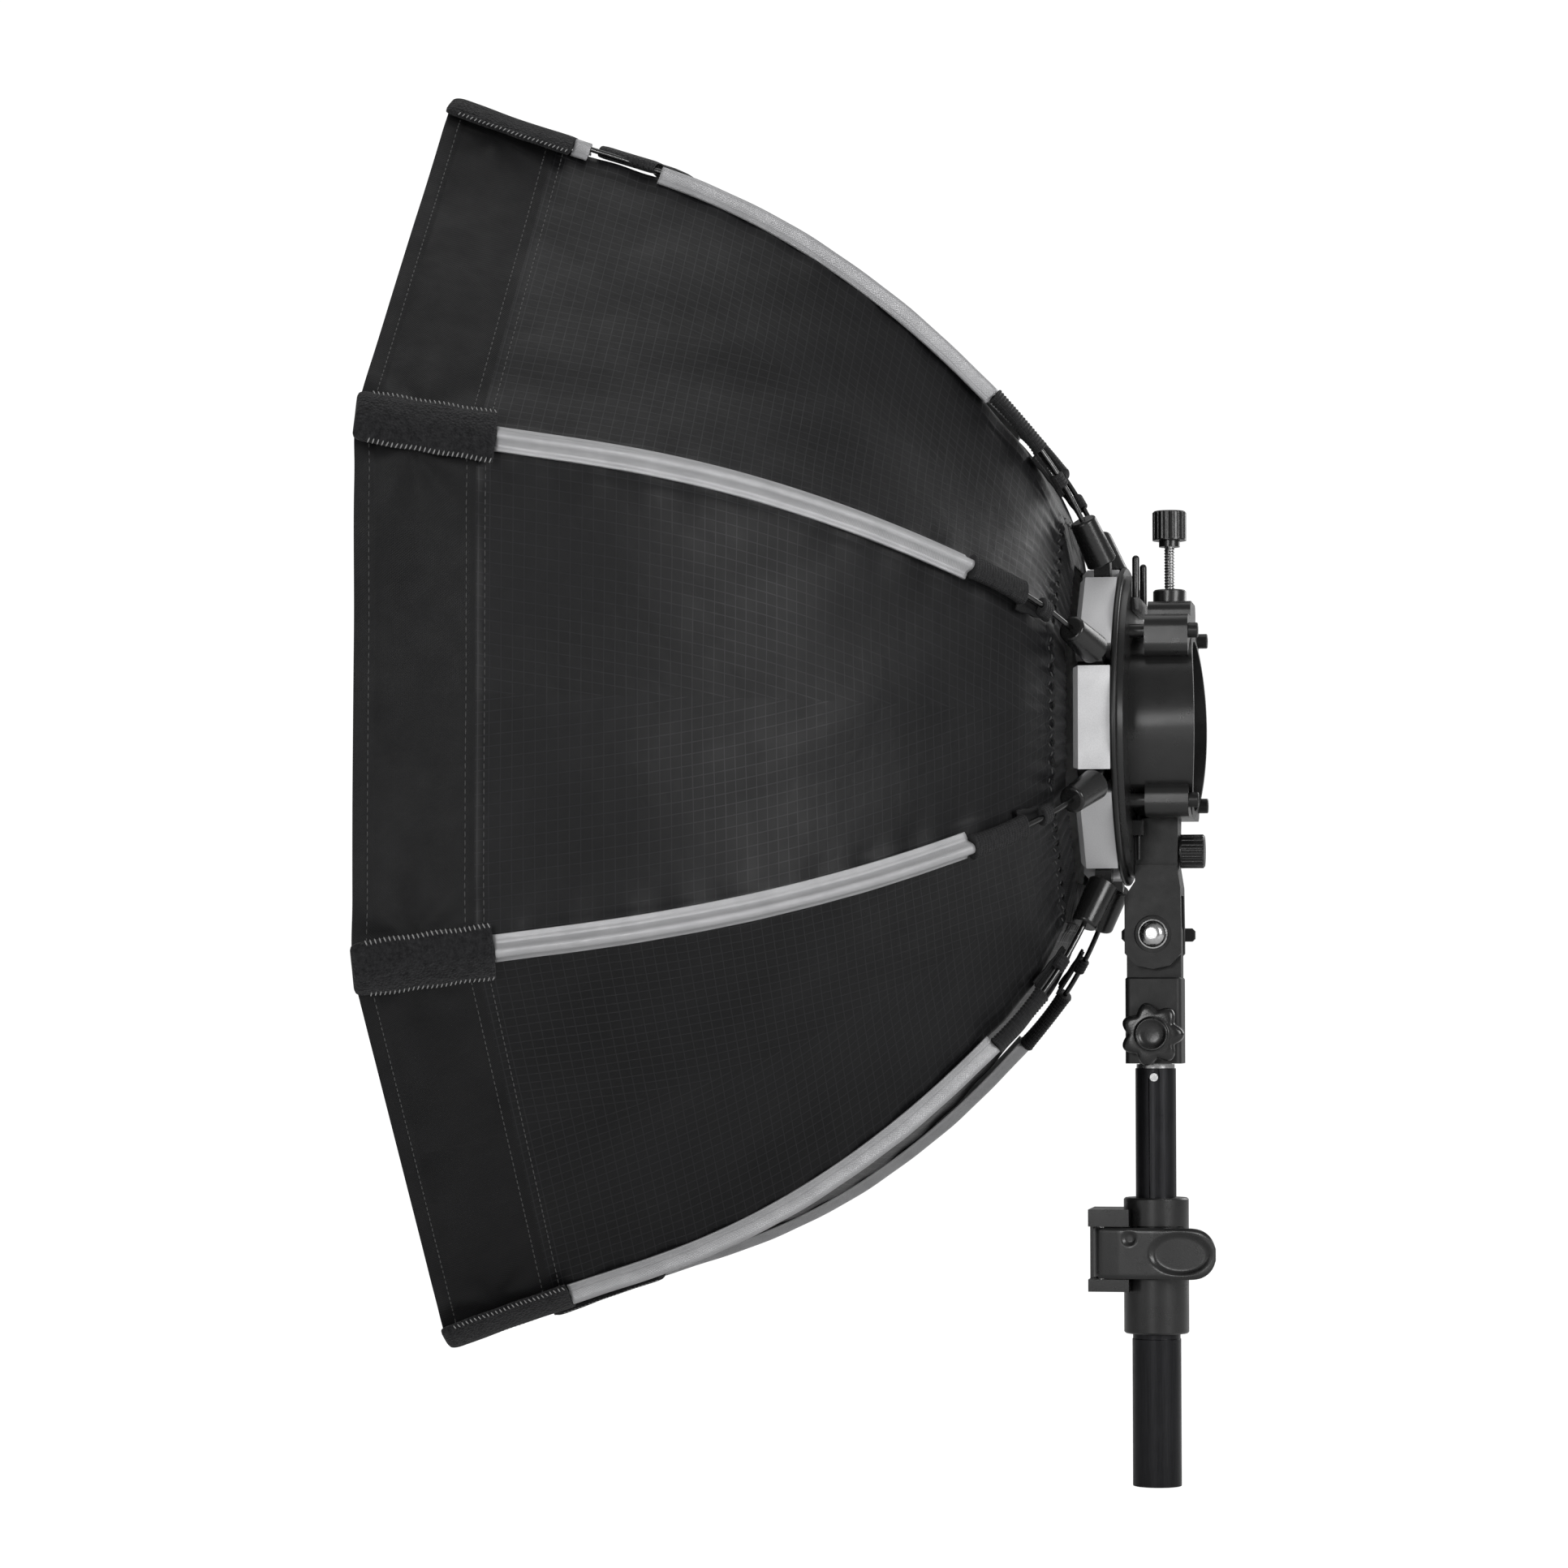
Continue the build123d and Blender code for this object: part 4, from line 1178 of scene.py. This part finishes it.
# lock lever: cam head at the pin, a thumb plate with an oval dish
lo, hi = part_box("lock_lever")
z_mid, z_half = (lo.z + hi.z) / 2, (hi.z - lo.z) / 2
OUTER = [(-29.6, 15.0), (-28.6, 18.2), (-26.6, 20.2), (-16, 22.0),
         (0, 22.3), (14, 24.2), (24, 25.4), (30.9, 25.7)]
INNER = [(-29.6, 14.6), (-27.6, 11.2), (-23.4, 11.4), (-15, 17.2),
         (0, 17.2), (14, 18.4), (24, 20.8), (30.9, 24.6)]
ys = np.concatenate([np.linspace(-29.6, -20, 14), np.linspace(
    -19, 30.9, 60)])
fo = np.interp(ys, *np.transpose(OUTER))
fi = np.interp(ys, *np.transpose(INNER))
relax(fo, 3)
relax(fi, 3)
qs = np.concatenate([[-1, -0.985, -0.95, -0.9], np.linspace(-0.84, 0.84, 25),
                     [0.9, 0.95, 0.985, 1]])
over = np.zeros((len(ys), len(qs), 3))
under = np.zeros_like(over)
for a, yy in enumerate(ys):
    tip = max(0.0, (yy - 17.0) / 14.2)
    h = z_half * math.sqrt(max(0.02, 1 - tip ** 2.6))
    for b, q in enumerate(qs):
        z = z_mid + q * h
        crown = 0.9 * (max(0.0, abs(q) - 0.84) / 0.16) ** 2.2
        dish = ((yy - 13.5) / 15.5) ** 2 + ((z - z_mid) / (
            0.83 * z_half)) ** 2
        depth = 1.5 * float(soften(np.array((1.05 - dish) / 0.42)))
        dot = math.hypot(yy + 11.5, (z - z_mid) / MM - 7.3)
        depth += 1.3 * float(soften(np.array((3.6 - dot) / 1.4)))
        over[a, b] = ((fo[a] - crown - depth) * MM, yy * MM, z)
        under[a, b] = ((fi[a] + 0.5 * crown) * MM, yy * MM, z)
lever = shell("lock_lever_detail", over, under,
              np.zeros(over.shape[:2] + (2,)), ["satin"])
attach(lever, "lever")
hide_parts("lock_lever")

# ------------------------------------------------------------------- stage
# a floor that looks bright to the camera but throws no light upwards
n = Nodes("floor", Base_Color=(0.93, 0.93, 0.93, 1), Roughness=0.85)
coord = n.object_coord()
n.out("Base Color", n.ramp(n.noise(coord, 3, 2), 0.3, 0.7, 0.92, 0.94))
M["floor"] = n.mat
glow = n.add("Emission", (1, 1, 1, 1), 1.16)
share = n.math("MULTIPLY", n.add("LightPath").outputs["Is Camera Ray"], 0.88)
blend = n.add("MixShader", share, n.shader.outputs[0], glow.outputs[0])
n.tree.links.new(blend.outputs[0],
                 n.tree.nodes["Material Output"].inputs["Surface"])
RINGS, SPOKES = 13, 36
floor_pts, floor_faces = [], []
for ring in range(RINGS):
    r = 0.35 * 1.5 ** ring if ring else 0.0
    for q in range(SPOKES):
        turn = 2 * pi * q / SPOKES
        floor_pts.append((r * cos(turn), r * sin(turn), -0.0006))
        if ring < RINGS - 1:
            a = ring * SPOKES + q
            b = ring * SPOKES + (q + 1) % SPOKES
            face = (a, a + SPOKES, b + SPOKES, b)
            floor_faces.append(face if ring else face[:3])
floor = obj("floor", floor_pts, floor_faces, ["floor"])


def area_light(name, where, aim, size, power):
    """A square soft light."""
    data = bpy.data.lights.new(name, "AREA")
    data.size = size
    data.energy = power
    light = bpy.data.objects.new(name, data)
    light.location = where
    light.rotation_euler = (Vector(aim) - Vector(where)).to_track_quat(
        "-Z", "Y").to_euler()
    bpy.context.scene.collection.objects.link(light)


area_light("key", (1.4, 1.6, 0.85), (0, -0.1, 0.38), 0.9, 19)
area_light("front", (2.4, -0.5, 0.6), (0, 0, 0.36), 0.5, 9)
area_light("fill", (1.5, -1.9, 0.9), (0, -0.15, 0.35), 1.2, 6)
area_light("back", (-1.9, 1.3, 1.1), (0, -0.1, 0.38), 1.3, 14)
area_light("top", (-0.2, -0.1, 2.0), (0, -0.15, 0.4), 1.2, 4)
world = bpy.data.worlds.new("world")
world.use_nodes = True
tree = world.node_tree
lit = tree.nodes["Background"]
seen = tree.nodes.new("ShaderNodeBackground")  # by the camera alone
for node, strength in ((lit, 0.26), (seen, 1.05)):
    node.inputs[0].default_value = (1, 1, 1, 1)
    node.inputs[1].default_value = strength
path = tree.nodes.new("ShaderNodeLightPath")
both = tree.nodes.new("ShaderNodeMixShader")
for source, socket in (
        (path.outputs["Is Camera Ray"], both.inputs[0]),
        (lit.outputs[0], both.inputs[1]), (seen.outputs[0], both.inputs[2]),
        (both.outputs[0], tree.nodes["World Output"].inputs[0])):
    tree.links.new(source, socket)
bpy.context.scene.world = world
bpy.context.scene.view_settings.view_transform = "Standard"

bpy.context.view_layer.update()
